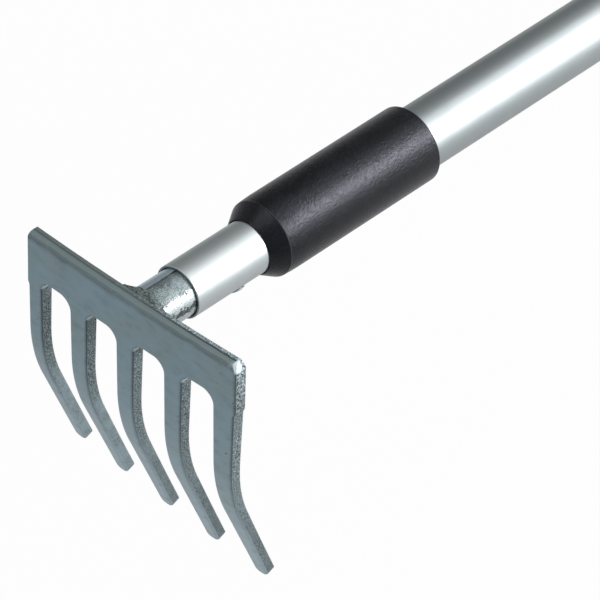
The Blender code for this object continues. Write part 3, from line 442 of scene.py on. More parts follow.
# Painted highlights: a light patch is painted at the upper left corner of each slot, where its
# rounded corner would catch the light, and the ground top right corner is smooth and painted light.
GLINT_DROP = 2.8 * MM
GLINT_OFFSET = 0.6 * MM
GLINT_RADIUS = 1.1 * MM
GLINT_BLUR = 0.6 * MM
GLINT_UNEVENNESS = 0.9 * MM
DRESSED_CORNER = PLATE_TOP_HEIGHT + HEAD_RIGHT - 2.9 * MM
DRESSED_BLUR = 0.4 * MM
glint_place = tine_edges(0)[1] + GLINT_OFFSET
beside = (sideways - glint_place).maths("WRAP", TINE_PITCH / 2, -TINE_PITCH / 2)
below = height - (PLATE_TOP_HEIGHT - BAR_HEIGHT - GLINT_DROP)
apart = (beside * beside + below * below).maths("SQRT") + (ragged - 0.5) * GLINT_UNEVENNESS
# Painted highlight: a light patch at each slot's upper left corner.
slot_corner_glint = (1.0 - apart.above(GLINT_RADIUS, GLINT_RADIUS + GLINT_BLUR)) * cut.above(0.06, 0.14)
slot_corner_glint = slot_corner_glint * (1.0 - right_end) * (1.0 - cut.above(0.86, 0.95))
# The ground corner is smooth rather than torn, and painted light as a painted glint.
ground_corner_and_glint = (height + sideways).above(DRESSED_CORNER, DRESSED_CORNER + DRESSED_BLUR)
ground_corner_and_glint = ground_corner_and_glint * (1.0 - (cut + (ragged - 0.5) * 0.3).above(0.60, 0.75))
torn = torn * (1.0 - ground_corner_and_glint)
tint = plating.mix(torn, skin, face)
tint = plating.mix((slot_corner_glint + ground_corner_and_glint).maths("MINIMUM", 1.0) * 0.9, tint, PAINTED_GLINT_LIGHT)
plating.colour(tint)
plating.rough(0.36 + 0.10 * plating.noise(4.0 * MM) + 0.10 * torn * fine)
grain = plating.noise(0.5 * MM)
smooth = (1.0 - torn) * (0.20 * grain + 0.8 * waves - 0.5 * nicks)
pits = torn * speckle * 1.6 * (1.0 - slot_corner_glint) * (1.0 - 0.8 * plain_rim)
plating.bump(smooth + pits, 0.12 * MM)
piece("stamped_head", head, [plating], "head", ["rake_head"], sharp=50.0)


# Rolled shank
# Steel strip rolled into a tube whose edges nearly meet near its top, galvanised before rolling.
# Its foot is welded to the plate and its other end sits in the inner tube.
ROUND_STEPS = 160


def turned(profile, steps=ROUND_STEPS):
    """Spins (radius, y) points round the handle's axis. A profile that ends on the axis makes a
    solid, and any other one is closed into a ring."""
    bm = bmesh.new()
    points = [bm.verts.new((radius, y, 0.0)) for radius, y in profile]
    edges = [bm.edges.new(pair) for pair in zip(points, points[1:])]
    if profile[0][0] > 0.0:
        edges.append(bm.edges.new((points[-1], points[0])))
    bmesh.ops.spin(bm, geom=points + edges, cent=(0.0, 0.0, 0.0), axis=(0.0, 1.0, 0.0),
                   angle=math.tau, steps=steps, use_merge=True)
    bmesh.ops.remove_doubles(bm, verts=bm.verts, dist=MERGE_DISTANCE)
    return bm


def rounded(outline, radius, steps=4):
    """Rounds each corner of a closed outline of (radius, y) points."""
    points = []
    for index, corner in enumerate(outline):
        here = Vector(corner)
        before = Vector(outline[index - 1]) - here
        after = Vector(outline[(index + 1) % len(outline)]) - here
        reach = min(radius, before.length * 0.45, after.length * 0.45)
        start = here + before.normalized() * reach
        end = here + after.normalized() * reach
        for step in range(steps + 1):
            share = step / steps
            points.append(tuple(start.lerp(here, share).lerp(here.lerp(end, share), share)))
    return points


def wall_section(low, high, wall):
    """Half of a tube's long section, as (radius, y) points, from its lowest and highest corner."""
    return [(high.x, low.y), (high.x, high.y), (high.x - wall, high.y), (high.x - wall, low.y)]


SHANK_WALL = 1.8 * MM
SHANK_END_ROUND = 0.3 * MM
SEAM_GAP = 0.8 * MM
SEAM_TURN = math.radians(-6.0)
shank_low, shank_high = handle_box("shank", HANDLE)
shank_radius = shank_high.x
seam_half = math.asin(SEAM_GAP / 2 / shank_radius)
section = rounded(wall_section(shank_low, shank_high, SHANK_WALL), SHANK_END_ROUND)
shank = bmesh.new()
strip = shank.faces.new([shank.verts.new((0.0, y, radius)) for radius, y in section])
bmesh.ops.rotate(shank, verts=strip.verts, cent=(0.0, 0.0, 0.0),
                 matrix=Matrix.Rotation(SEAM_TURN + seam_half, 3, "Y"))
bmesh.ops.spin(shank, geom=[strip], cent=(0.0, 0.0, 0.0), axis=(0.0, 1.0, 0.0),
               angle=math.tau - 2.0 * seam_half, steps=ROUND_STEPS)
GALVANISED_DARK = (0.090, 0.115, 0.120)
GALVANISED = (0.270, 0.335, 0.345)
CLEAN_ZINC_PAINTED_HIGHLIGHT = (0.740, 0.800, 0.810)
SMOOTH_ZINC_PAINTED_REFLECTION = (0.700, 0.850, 0.950)

# The zinc is dark and mottled on top, and painted shade darkens it further near the top. Down the
# left it is smooth and painted pale blue, a painted reflection. Down the right a smooth band is painted
# bright, a painted highlight, beside dark streaks. Angles run round the shank from its top and grow to
# the right.
galvanised = Finish("galvanised_strip", roughness=0.25)
place = galvanised.place()
spangle = galvanised.noise(0.55 * MM, detail=2.0, roughness=0.65)
blotch = galvanised.noise(3.5 * MM, detail=2.0)
round_turn = galvanised.part_of(place, "X").maths("ARCTAN2", galvanised.part_of(place, "Z"))
DEGREE = math.radians(1.0)
# Down the left: smooth zinc painted pale blue, a painted reflection.
smooth_left_and_reflection = 1.0 - round_turn.above(-12.0 * DEGREE, -7.0 * DEGREE)
# A smooth band painted bright where the highlight falls: a painted highlight.
ragged_turn = round_turn + ((blotch - 0.5) * 16.0 + (spangle - 0.5) * 34.0) * DEGREE
clean_band_and_highlight = ragged_turn.above(48.0 * DEGREE, 56.0 * DEGREE)
streaks = galvanised.noise(0.9 * MM, detail=2.5, roughness=0.7, stretch=(1.0, 0.45, 1.0))
streak_start = round_turn + (streaks - 0.5) * 46.0 * DEGREE
streak_end = round_turn + (streaks - 0.5) * 38.0 * DEGREE
streaked = streak_start.above(77.0 * DEGREE, 83.0 * DEGREE)
streaked = streaked * (1.0 - streak_end.above(93.0 * DEGREE, 100.0 * DEGREE))
# Painted shade near the top of the shank.
painted_top_shading = 1.0 - round_turn.above(-4.0 * DEGREE, 24.0 * DEGREE)
mottle = spangle + (blotch - 0.5) * 0.35 - 0.26 * streaked - 0.16 * painted_top_shading + 0.10 * clean_band_and_highlight
tint = galvanised.mix(mottle.above(0.32, 0.62), GALVANISED_DARK, GALVANISED)
tint = galvanised.mix(clean_band_and_highlight * (1.0 - streaked) * 0.7, tint, CLEAN_ZINC_PAINTED_HIGHLIGHT)
tint = galvanised.mix(smooth_left_and_reflection * 0.85, tint, SMOOTH_ZINC_PAINTED_REFLECTION)
galvanised.colour(tint)
bare = smooth_left_and_reflection.maths("MAXIMUM", clean_band_and_highlight)
galvanised.metal(0.25 + 0.60 * bare)
galvanised.rough(0.38 - 0.24 * bare + 0.16 * spangle)
galvanised.bump(mottle * (1.0 - 0.8 * smooth_left_and_reflection), 0.10 * MM)
piece("rolled_shank", shank, [galvanised], "head", ["shank"])


# Fillet weld
# A bead laid by hand round the foot of the shank, dressed off flush with the plate's top edge
# and plated over, so that it looks dark and lumpy.
weld_low, weld_high = handle_box("weld_bead", HANDLE)
WELD_TOE = 0.5 * MM
WELD_HOLLOWNESS = 1.7
WELD_PROFILE_STEPS = 14
RIPPLE_COUNT = 22
RIPPLE_LEAN = 2.5
RIPPLE_HEIGHT = 0.12 * MM
RIPPLE_SINK = 0.15 * MM
PLAIN_FOOT = 0.1 * MM
PLAIN_BORE = 0.05 * MM
weld_inner = shank_radius + FIT
weld_leg = weld_high.x - weld_inner
weld_height = weld_high.y - weld_low.y
hollow = []
for step in range(WELD_PROFILE_STEPS + 1):
    share = step / WELD_PROFILE_STEPS
    rise = WELD_TOE + (weld_height - WELD_TOE) * (1.0 - share) ** WELD_HOLLOWNESS
    hollow.append((weld_inner + weld_leg * share, weld_low.y + rise))
bead = turned([(weld_inner, weld_low.y)] + hollow + [(weld_inner + weld_leg, weld_low.y)])
for vert in bead.verts:
    around = math.atan2(vert.co.x, vert.co.z)
    radius = math.hypot(vert.co.x, vert.co.z)
    outside = min(max((radius - weld_inner) / weld_leg, 0.0), 1.0)
    lift = (vert.co.y - weld_low.y) / weld_height
    if vert.co.y > weld_low.y + PLAIN_FOOT and radius > weld_inner + PLAIN_BORE:
        ripple = math.sin(RIPPLE_COUNT * around + RIPPLE_LEAN * outside) * RIPPLE_HEIGHT
        vert.co.y += ripple * lift - RIPPLE_SINK * lift
cut_through(bead, (0.0, 0.0, weld_high.z), (0.0, 0.0, 1.0), clear_outer=True)
bmesh.ops.holes_fill(bead, edges=[edge for edge in bead.edges if edge.is_boundary], sides=0)
WELD_DARK = (0.030, 0.040, 0.038)
WELD_LIGHT = (0.215, 0.270, 0.265)
bead_metal = Finish("plated_weld", roughness=0.45, metallic=0.4)
lumps = bead_metal.noise(0.9 * MM, detail=3.5, roughness=0.7)
bead_metal.colour(bead_metal.mix(lumps.above(0.38, 0.66), WELD_DARK, WELD_LIGHT))
bead_metal.rough(0.30 + 0.35 * lumps)
bead_metal.bump(lumps, 0.4 * MM)
piece("fillet_weld", bead, [bead_metal], "head", ["weld_bead"], sharp=60.0)


# Inner tube
# Thin drawn aluminium tube, satin anodised, pushed over the shank and riveted to it. The saw
# leaves its mouth slightly rounded by the tumbling that takes the burr off.
INNER_WALL = 0.8 * MM
MOUTH_ROUND = 0.5 * MM
ALLOY = (0.621, 0.673, 0.675)
ALLOY_DULL = (0.552, 0.600, 0.608)
SAWN_ALLOY = (0.420, 0.480, 0.480)
SAW_MARK_START = 0.05 * MM
SAW_MARK_END = 0.35 * MM
inner_low, inner_high = handle_box("inner_tube", HANDLE)
inner_radius = inner_high.x
walls = wall_section(inner_low, inner_high, INNER_WALL)


def anodised(name, bright, dull, mouth):
    """Drawn alloy with fine lines along the tube, dull patches and a few scuffs. The saw cut at
    the mouth is bare and duller."""
    finish = Finish(name, roughness=0.3)
    lines = finish.noise(0.25 * MM, detail=2.0, stretch=(1.0, 0.012, 1.0))
    patches = finish.noise(9.0 * MM, detail=3.0)
    scuffs = finish.noise(0.8 * MM, detail=1.0, stretch=(1.0, 0.35, 1.0)).above(0.79, 0.82)
    tint = finish.mix(patches.above(0.3, 0.7) * 0.5, bright, dull)
    tint = finish.mix(scuffs * 0.4, tint, PAINTED_SHADE_AND_SCUFF_DARK)
    along_tube = finish.part_of(finish.place(), "Y")
    sawn = 1.0 - along_tube.above(mouth + SAW_MARK_START, mouth + SAW_MARK_END)
    finish.colour(finish.mix(sawn, tint, SAWN_ALLOY))
    finish.metal(0.95 - 0.75 * sawn)
    finish.rough(0.31 + 0.05 * lines + 0.05 * patches + 0.2 * sawn)
    finish.bump(lines + 0.3 * finish.noise(0.35 * MM), 0.012 * MM)
    return finish


satin = anodised("satin_anodised_alloy", ALLOY, ALLOY_DULL, inner_low.y)
piece("sliding_tube", turned(rounded(walls, MOUTH_ROUND)), [satin], "head", ["inner_tube"])


# Blind rivet
# Aluminium rivet pulled up from outside through the inner tube and the shank, on the lower right.
# The steel mandrel that pulled it is left inside, snapped off below its domed head.
RIVET_TURN = math.radians(142.0)
RIVET_RADIUS = 1.6 * MM
RIVET_HEAD_RADIUS = 2.8 * MM
RIVET_HEAD_HEIGHT = 0.5 * MM
RIVET_BULB_RADIUS = 2.2 * MM
RIVET_BULB_LENGTH = 3.0 * MM
BULB_SHARES = (0.35, 0.7)
MANDREL_RADIUS = 0.75 * MM
RIVET_STEPS = 48
rivet_low, rivet_high = handle_box("rivet_body", HANDLE)
rivet_place = (rivet_low.y + rivet_high.y) / 2
seat = inner_radius + FIT
crown = seat + RIVET_HEAD_HEIGHT
bulb_top = shank_radius - SHANK_WALL - FIT
bulb_end = bulb_top - RIVET_BULB_LENGTH
hollow_radius = MANDREL_RADIUS + FIT
outward = Matrix.Rotation(RIVET_TURN, 3, "Y") @ Matrix.Rotation(math.radians(90.0), 3, "X")


def pointing_out(bm):
    """Turns a piece that was spun about +Y to point out of the tube where the rivet sits."""
    bmesh.ops.rotate(bm, verts=bm.verts, cent=(0.0, 0.0, 0.0), matrix=outward)
    bmesh.ops.translate(bm, verts=bm.verts, vec=(0.0, rivet_place, 0.0))
    return bm


DOME_ANGLES = [math.radians(angle) for angle in range(0, 61, 10)]
dome = [(RIVET_HEAD_RADIUS * math.cos(angle), seat + RIVET_HEAD_HEIGHT * math.sin(angle))
        for angle in DOME_ANGLES]
shell = [(RIVET_RADIUS, bulb_top), (RIVET_RADIUS, seat)] + dome
shell += [(hollow_radius, crown), (hollow_radius, bulb_end), (RIVET_RADIUS, bulb_end)]
shell += [(RIVET_BULB_RADIUS, bulb_end + RIVET_BULB_LENGTH * share) for share in BULB_SHARES]
rivet_metal = Finish("bare_rivet_alloy", roughness=0.5, metallic=0.6)
dullness = rivet_metal.noise(0.8 * MM).above(0.4, 0.7)
rivet_metal.colour(rivet_metal.mix(dullness, ALLOY, ALLOY_DULL))
rivet_metal.bump(rivet_metal.noise(0.4 * MM), 0.02 * MM)
rivet = turned(shell, RIVET_STEPS)
for vert in rivet.verts:
    if vert.co.y > seat - FIT / 2 and math.hypot(vert.co.x, vert.co.z) > RIVET_RADIUS:
        vert.co.y -= inner_radius - math.sqrt(inner_radius ** 2 - vert.co.x ** 2)
piece("pulled_rivet", pointing_out(rivet), [rivet_metal], "head", ["rivet_body"])

SNAP_DEPTH = 0.4 * MM
STEM_HEAD_RADIUS = 1.3 * MM
STEM_HEAD_LENGTH = 1.4 * MM
STEM_POINT_SHARE = 0.4
SNAP_POINT_SHARE = 0.8
stem_neck = bulb_end - FIT
stem_start = stem_neck - STEM_HEAD_LENGTH
stem = [(0.0, stem_start), (STEM_HEAD_RADIUS, stem_start + STEM_HEAD_LENGTH * STEM_POINT_SHARE),
        (STEM_HEAD_RADIUS, stem_neck), (MANDREL_RADIUS, stem_neck),
        (MANDREL_RADIUS, crown - SNAP_DEPTH), (0.0, crown - SNAP_DEPTH * SNAP_POINT_SHARE)]
stem_metal = Finish("snapped_steel", roughness=0.45, metallic=0.9)
tarnish = stem_metal.noise(0.3 * MM).above(0.4, 0.6)
stem_metal.colour(stem_metal.mix(tarnish, WELD_LIGHT, GALVANISED))
stem_metal.bump(stem_metal.noise(0.25 * MM), 0.05 * MM)
piece("rivet_stem", pointing_out(turned(stem, RIVET_STEPS)), [stem_metal], "head",
      ["rivet_mandrel"])


# Twist lock
# Sits out of sight in the tubes: a nylon plug and its pin, a cast screw, an acetal collet with a
# rubber ring, a brass cone nut, and a washer and screw on the end. The frame's own solids stay.
def moulded(name, colour, roughness, size):
    """A plastic or rubber with a fine moulded grain and a little variation in its gloss."""
    finish = Finish(name, roughness=roughness)
    specks = finish.noise(size)
    finish.colour(finish.mix(specks.above(0.3, 0.8) * 0.3, colour, tuple(c * 0.6 for c in colour)))
    finish.rough(roughness - 0.06 + 0.12 * specks)
    finish.bump(specks, 0.04 * MM)
    return finish


def machined(name, colour, roughness, size):
    """A plain metal with fine turning marks."""
    finish = Finish(name, roughness=roughness, metallic=0.9)
    marks = finish.noise(size, stretch=(1.0, 3.0, 1.0))
    finish.colour(finish.mix(marks.above(0.3, 0.7) * 0.5, colour, tuple(c * 0.7 for c in colour)))
    finish.rough(roughness - 0.05 + 0.1 * marks)
    finish.bump(marks, 0.03 * MM)
    return finish


lock_finishes = {
    "lock_plug": moulded("plug_nylon", (0.035, 0.035, 0.038), 0.5, 0.6 * MM),
    "lock_plug_pin": machined("pin_steel", (0.55, 0.56, 0.57), 0.3, 0.5 * MM),
    "lock_screw": machined("cast_zinc", (0.42, 0.43, 0.44), 0.42, 0.8 * MM),
    "lock_collet": moulded("white_acetal", (0.70, 0.70, 0.66), 0.42, 0.7 * MM),
    "lock_drag_ring": moulded("ring_rubber", (0.02, 0.02, 0.02), 0.65, 0.5 * MM),
    "lock_cone_nut": machined("turned_brass", (0.62, 0.44, 0.17), 0.3, 0.4 * MM),
    "lock_stop_washer": machined("washer_steel", (0.56, 0.57, 0.58), 0.35, 0.5 * MM),
    "lock_stop_screw": machined("screw_steel", (0.52, 0.53, 0.54), 0.33, 0.5 * MM),
}
for node, finish in lock_finishes.items():
    solid = frame["nodes"][node]
    solid.data.materials.clear()
    solid.data.materials.append(finish.material)


# Outer tube
# The same drawn and satin anodised alloy, painted a shade darker as painted shade, and 25 mm
# across. It butts on the collar's shoulder at one end and takes the end cap at the other.
OUTER_WALL = 1.2 * MM
OUTER_END_ROUND = 0.2 * MM
OUTER_ALLOY_PAINTED_SHADE = (0.438, 0.481, 0.489)
OUTER_ALLOY_DULL_PAINTED_SHADE = (0.394, 0.435, 0.443)
outer_low, outer_high = handle_box("outer_tube", HANDLE)
outer_radius = outer_high.x
walls = wall_section(outer_low, outer_high, OUTER_WALL)
# The inner tube's alloy with darker colours: painted shade.
painted_shading_alloy = anodised("painted_shading_anodised_alloy", OUTER_ALLOY_PAINTED_SHADE, OUTER_ALLOY_DULL_PAINTED_SHADE, outer_low.y)
piece("handle_tube", turned(rounded(walls, OUTER_END_ROUND)), [painted_shading_alloy], "handle", ["outer_tube"])


# Collar
# Black sleeve moulded in one piece and pressed on the outer tube's mouth. Its nose closes in on the
# inner tube in a cone that ends in the mould's worn parting line, and its body is finely grained, with
# grey flecks in the grain painted in as glints.
NOSE_LIP = 0.2 * MM
NOSE_LENGTH = 6.6 * MM
NOSE_RISE = 4.1 * MM
TAPER_LENGTH = 8.0 * MM
SHOULDER = 11.0 * MM
BACK_EDGE_ROUND = 0.7 * MM
collar_low, collar_high = handle_box("collar", HANDLE)
collar_radius = collar_high.x
collar_mouth = inner_radius + FIT
skirt = outer_radius + FIT
lip = collar_mouth + NOSE_LIP
ridge = lip + NOSE_RISE
nose_start = collar_low.y
nose = [(collar_mouth, nose_start), (lip, nose_start), (ridge, nose_start + NOSE_LENGTH)]
TAPER_STEPS = 16
for step in range(1, TAPER_STEPS + 1):
    share = step / TAPER_STEPS
    nose.append((collar_radius - (collar_radius - ridge) * (1.0 - share) ** 2,
                 nose_start + NOSE_LENGTH + TAPER_LENGTH * share))
sleeve = nose + [(collar_radius, collar_high.y), (skirt, collar_high.y),
                 (skirt, nose_start + SHOULDER), (collar_mouth, nose_start + SHOULDER)]
BLACK = (0.0018, 0.0019, 0.0024)
BLACK_WORN = (0.0050, 0.0053, 0.0066)
PARTING_AND_GLINT_GREY = (0.030, 0.031, 0.035)
grained = Finish("grained_black_plastic", roughness=0.45)
grained.shader.inputs["Specular IOR Level"].default_value = 0.33
grained.shader.inputs["Specular Tint"].default_value = (0.84, 0.86, 1.0, 1.0)
grain = grained.noise(0.55 * MM, detail=1.5, roughness=0.6)
grain_flecks_and_glints = grained.noise(0.75 * MM, detail=0.5).above(0.52, 0.66)
smears = grained.noise(7.0 * MM, detail=3.0)
past_cone = grained.part_of(grained.place(), "Y") - (nose_start + NOSE_LENGTH)
parting_line = 1.0 - past_cone.maths("ABSOLUTE").above(0.10 * MM, 0.30 * MM)
tint = grained.mix(smears.above(0.35, 0.75), BLACK, BLACK_WORN)
# Grey flecks in the grain, painted in as glints.
tint = grained.mix(grain_flecks_and_glints * 0.10, tint, PARTING_AND_GLINT_GREY)
grained.colour(grained.mix(parting_line * smears.above(0.3, 0.6), tint, PARTING_AND_GLINT_GREY))
grained.rough(0.10 + 0.09 * grain + 0.04 * smears + 0.05 * grain_flecks_and_glints)
grained.bump(grain + grain_flecks_and_glints * 0.25 + parting_line, 0.145 * MM)
piece("black_collar", turned(rounded(sleeve, BACK_EDGE_ROUND)), [grained], "handle", ["collar"],
      sharp=30.0)


# Grip
# Soft black sleeve pushed on the user's end of the outer tube, with a bead at each end and finger
# grooves between them.
GRIP_WALL = 2.6 * MM
GRIP_BEAD_LENGTH = 9.0 * MM
GRIP_BEAD_HEIGHT = 1.2 * MM
GRIP_GROOVES = 9
GRIP_GROOVE_WIDTH = 3.0 * MM
GRIP_GROOVE_DEPTH = 0.7 * MM
GRIP_EDGE_ROUND = 0.8 * MM
grip_low, grip_high = handle_box("grip", HANDLE)
grip_start = grip_low.y
grip_length = grip_high.y - grip_start
grip_bore = outer_radius + FIT
grip_body = grip_bore + GRIP_WALL
grip_bead = grip_high.x
bead_slope = GRIP_BEAD_HEIGHT * 1.5
ribbed_start = GRIP_BEAD_LENGTH + bead_slope
spacing = (grip_length - 2.0 * ribbed_start) / GRIP_GROOVES
shape = [(grip_bore, 0.0), (grip_bead, 0.0), (grip_bead, GRIP_BEAD_LENGTH),
         (grip_body, ribbed_start)]
GROOVE_STEPS = 10
for groove in range(GRIP_GROOVES):
    middle = ribbed_start + spacing * (groove + 0.5)
    for step in range(GROOVE_STEPS + 1):
        share = step / GROOVE_STEPS
        dip = GRIP_GROOVE_DEPTH * 0.5 * (1.0 - math.cos(math.tau * share))
        shape.append((grip_body - dip, middle + GRIP_GROOVE_WIDTH * (share - 0.5)))
shape += [(grip_body, grip_length - ribbed_start), (grip_bead, grip_length - GRIP_BEAD_LENGTH),
          (grip_bead, grip_length), (grip_bore, grip_length)]
shape = [(radius, grip_start + y) for radius, y in shape]
soft = moulded("soft_black_rubber", (0.016, 0.016, 0.018), 0.68, 0.8 * MM)
piece("soft_grip", turned(rounded(shape, GRIP_EDGE_ROUND)), [soft], "handle", ["grip"],
      sharp=60.0)


# End cap
# Black moulding that plugs the outer tube, with a flange against its end and a flat eye with a
# round hole to hang the tool by.
CAP_INSERT_LENGTH = 22.0 * MM
CAP_FLANGE_THICKNESS = 4.0 * MM
CAP_FLANGE_RADIUS = 14.5 * MM
CAP_FLANGE_ROUND = 1.5 * MM
CAP_LEAD_IN = 1.2 * MM
EYE_WIDTH = 22.0 * MM
EYE_LENGTH = 24.0 * MM
EYE_THICKNESS = 8.0 * MM
EYE_HOLE_RADIUS = 5.5 * MM
EYE_EDGE_ROUND = 1.2 * MM
EYE_SINK = 1.0 * MM
EYE_STEPS = 48
tube_end = outer_high.y
plug_radius = outer_radius - OUTER_WALL - FIT
flange_start = tube_end + FIT
flange_end = flange_start + CAP_FLANGE_THICKNESS
insert_start = tube_end - CAP_INSERT_LENGTH
plug = [(0.0, insert_start), (plug_radius - CAP_LEAD_IN, insert_start),
        (plug_radius, insert_start + CAP_LEAD_IN), (plug_radius, flange_start),
        (CAP_FLANGE_RADIUS, flange_start)]
plug += arc((CAP_FLANGE_RADIUS - CAP_FLANGE_ROUND, flange_end - CAP_FLANGE_ROUND),
            CAP_FLANGE_ROUND, 0.0, 90.0, 6)
plug += [(0.0, flange_end)]
cap_plastic = moulded("cap_black_plastic", (0.016, 0.0165, 0.018), 0.48, 0.7 * MM)
piece("cap_plug", turned(plug), [cap_plastic], "handle", ["end_cap"], sharp=40.0)

half = EYE_WIDTH / 2
hole_centre = tube_end + CAP_FLANGE_THICKNESS + EYE_LENGTH - half
eye = bmesh.new()


def eye_loop(points):
    """A closed loop of edges on the lower face of the eye."""
    verts = [eye.verts.new((x, y, -EYE_THICKNESS / 2)) for x, y in points]
    return [eye.edges.new(pair) for pair in zip(verts, verts[1:] + verts[:1])]


outline = [(half, flange_end - EYE_SINK)]
outline += arc((0.0, hole_centre), half, 0.0, 180.0, EYE_STEPS)
outline += [(-half, flange_end - EYE_SINK)]
rim_edges = eye_loop(outline)
hole_edges = eye_loop(arc((0.0, hole_centre), EYE_HOLE_RADIUS, 0.0, 360.0, EYE_STEPS)[:-1])
flat = bmesh.ops.triangle_fill(eye, edges=rim_edges + hole_edges, use_beauty=True,
                               normal=(0.0, 0.0, -1.0))["geom"]
flat = [item for item in flat if isinstance(item, bmesh.types.BMFace)]
raised = bmesh.ops.extrude_face_region(eye, geom=flat, use_keep_orig=True)["geom"]
bmesh.ops.translate(eye, vec=(0.0, 0.0, EYE_THICKNESS),
                    verts=[item for item in raised if isinstance(item, bmesh.types.BMVert)])
bmesh.ops.recalc_face_normals(eye, faces=eye.faces)
corners = [edge for edge in eye.edges if edge.calc_face_angle(0.0) > math.radians(60.0)
           and max(vert.co.y for vert in edge.verts) > flange_end]
bmesh.ops.bevel(eye, geom=corners, offset=EYE_EDGE_ROUND, offset_type="OFFSET", segments=4,
                profile=0.5, affect="EDGES", material=-1, clamp_overlap=True)
piece("hanging_eye", eye, [cap_plastic], "handle", ["end_cap"], sharp=40.0)


# Studio
# A pale floor well below the tool and a white surround. One strong soft box stands behind on the
# right with a weak one under it, two weak ones hang above, and a dark card on the left shades the
# bare metal's reflections.
FLOOR_SIZE = 12.0
FLOOR_DROP = 60.0 * MM
FLOOR_GREY = 0.50
FLOOR_WHITE_SHARE = 0.97
FLOOR_MIRROR_SHARE = 0.08
ROOM_LIGHT = 0.36
ROOM_WHITE_SHARE = 1.0
ROOM_MIRROR_SHARE = 0.1
COOL = 1.03
AIM_HEIGHT = 40.0 * MM
floor_mesh = bmesh.new()
bmesh.ops.create_grid(floor_mesh, x_segments=1, y_segments=1, size=FLOOR_SIZE / 2)
mesh = bpy.data.meshes.new("floor")
floor_mesh.to_mesh(mesh)
floor_mesh.free()
floor = bpy.data.objects.new("floor", mesh)
bpy.context.scene.collection.objects.link(floor)
floor.location.z = -FLOOR_DROP


def whiteness(finish, white_share, mirror_share):
    """How far a surface shows as plain white, to the camera and in what mirrors it."""
    seen, mirrored, through = (finish.node("ShaderNodeLightPath", {}, {}, f"Is {ray} Ray")
                               for ray in ("Camera", "Glossy", "Transmission"))
    return (seen + through) * white_share + mirrored * mirror_share


paper = Finish("white_paper", roughness=0.9)
paper.colour((FLOOR_GREY, FLOOR_GREY, FLOOR_GREY))
lit = Value(paper, paper.shader.outputs[0])
glow = paper.node("ShaderNodeEmission", {}, {})
floor_white = whiteness(paper, FLOOR_WHITE_SHARE, FLOOR_MIRROR_SHARE)
blend = paper.node("ShaderNodeMixShader", {}, {0: floor_white, 1: lit, 2: glow})
paper.fill(paper.tree.nodes["Material Output"].inputs["Surface"], blend)
mesh.materials.append(paper.material)


class Surround(Finish):
    """The world round the tool, made with the same nodes as a finish."""

    def __init__(self, world):
        world.use_nodes = True
        self.tree = world.node_tree


world = bpy.data.worlds.new("studio")
bpy.context.scene.world = world
sky = Surround(world)
dim = sky.node("ShaderNodeBackground", {},
               {"Color": (ROOM_LIGHT, ROOM_LIGHT, ROOM_LIGHT * COOL, 1.0)})
white = sky.node("ShaderNodeBackground", {}, {"Color": (1.0, 1.0, 1.0, 1.0)})
room_white = whiteness(sky, ROOM_WHITE_SHARE, ROOM_MIRROR_SHARE)
blend = sky.node("ShaderNodeMixShader", {}, {0: room_white, 1: dim, 2: white})
sky.fill(sky.tree.nodes["World Output"].inputs["Surface"], blend)

target = HANDLE @ Vector((0.0, AIM_HEIGHT, 0.0))


def soft_box(name, direction, distance, width, tall, radiance):
    """A lamp that faces the head from a direction in the handle's own axes. Radiance is its
    brightness, where 1 is white."""
    lamp = bpy.data.lights.new(name, "AREA")
    lamp.shape = "RECTANGLE"
    lamp.size = width
    lamp.size_y = tall
    lamp.energy = radiance * width * tall * math.pi
    holder = bpy.data.objects.new(name, lamp)
    bpy.context.scene.collection.objects.link(holder)
    way = (turn.to_3x3() @ Vector(direction)).normalized()
    holder.location = target + way * distance
    holder.rotation_euler = (-way).to_track_quat("-Z", "Y").to_euler()


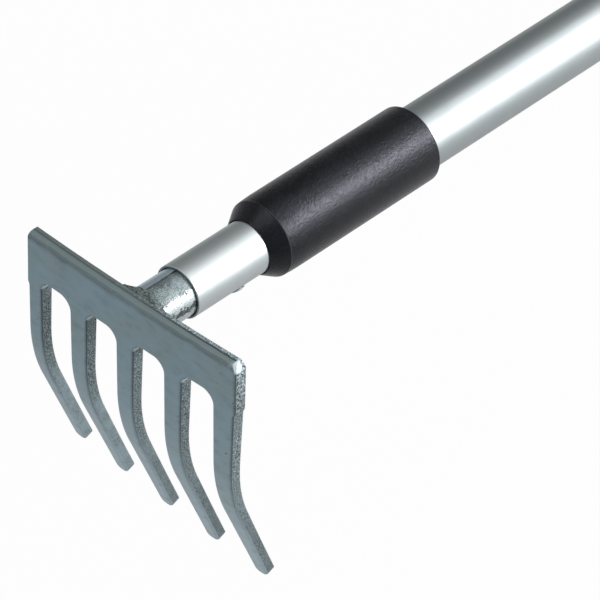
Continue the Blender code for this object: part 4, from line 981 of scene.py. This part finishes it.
def dark_card(name, direction, distance, width, tall, brightness):
    """A card in a direction in the room's own axes, that only reflections show."""
    bm = bmesh.new()
    bmesh.ops.create_grid(bm, x_segments=1, y_segments=1, size=0.5)
    bmesh.ops.scale(bm, vec=(width, tall, 1.0), verts=bm.verts)
    way = Vector(direction).normalized()
    facing = way.to_track_quat("Z", "Y").to_matrix().to_4x4()
    placed = Matrix.Translation(target + way * distance) @ facing
    bmesh.ops.transform(bm, matrix=placed, verts=bm.verts)
    card_mesh = bpy.data.meshes.new(name)
    bm.to_mesh(card_mesh)
    bm.free()
    card = bpy.data.objects.new(name, card_mesh)
    bpy.context.scene.collection.objects.link(card)
    matte = Finish(name)
    tone = (brightness, brightness * COOL, brightness * COOL, 1.0)
    glow = matte.node("ShaderNodeEmission", {}, {"Color": tone})
    matte.fill(matte.tree.nodes["Material Output"].inputs["Surface"], glow)
    card_mesh.materials.append(matte.material)
    card.visible_camera = False
    card.visible_diffuse = False
    card.visible_shadow = False


soft_box("right_back_soft_box", (0.64, 0.64, 0.46), distance=1.6, width=1.3, tall=0.44, radiance=13.5)
soft_box("right_low_soft_box", (0.80, 0.60, 0.06), distance=1.6, width=1.3, tall=0.30, radiance=2.2)
soft_box("high_back_soft_box", (0.33, 0.63, 0.72), distance=1.7, width=1.4, tall=1.0, radiance=1.45)
soft_box("overhead_soft_box", (-0.1, -0.25, 1.0), distance=1.8, width=1.2, tall=1.2, radiance=1.6)
dark_card("left_back_card", (-0.75, 0.56, 0.35), distance=1.5, width=1.1, tall=1.5, brightness=0.20)


# Camera
# The photograph's viewpoint, fitted to the tubes, the collar and the head, in millimetres along
# the handle's directions from the foot of the shank.
CAMERA_PLACE = Vector((787.345, -775.739, 940.188)) * MM
CAMERA_RIGHT = Vector((0.72318, 0.69027, 0.02314))
CAMERA_DOWN = Vector((0.45783, -0.45403, -0.76436))
FOCAL_PIXELS = 4193.98
FRAME_PIXELS = 600
SENSOR_WIDTH = 36.0
VIEW_RANGE = 30.0
camera_forward = CAMERA_RIGHT.cross(CAMERA_DOWN)
camera = bpy.data.cameras.new("camera")
camera.sensor_width = SENSOR_WIDTH
camera.lens = FOCAL_PIXELS * SENSOR_WIDTH / FRAME_PIXELS
camera.clip_end = VIEW_RANGE
viewer = bpy.data.objects.new("camera", camera)
bpy.context.scene.collection.objects.link(viewer)
aim = Matrix((CAMERA_RIGHT, -CAMERA_DOWN, -camera_forward)).transposed().to_4x4()
viewer.matrix_world = HANDLE @ Matrix.Translation(CAMERA_PLACE) @ aim
bpy.context.scene.camera = viewer
bpy.context.scene.view_settings.view_transform = "Standard"
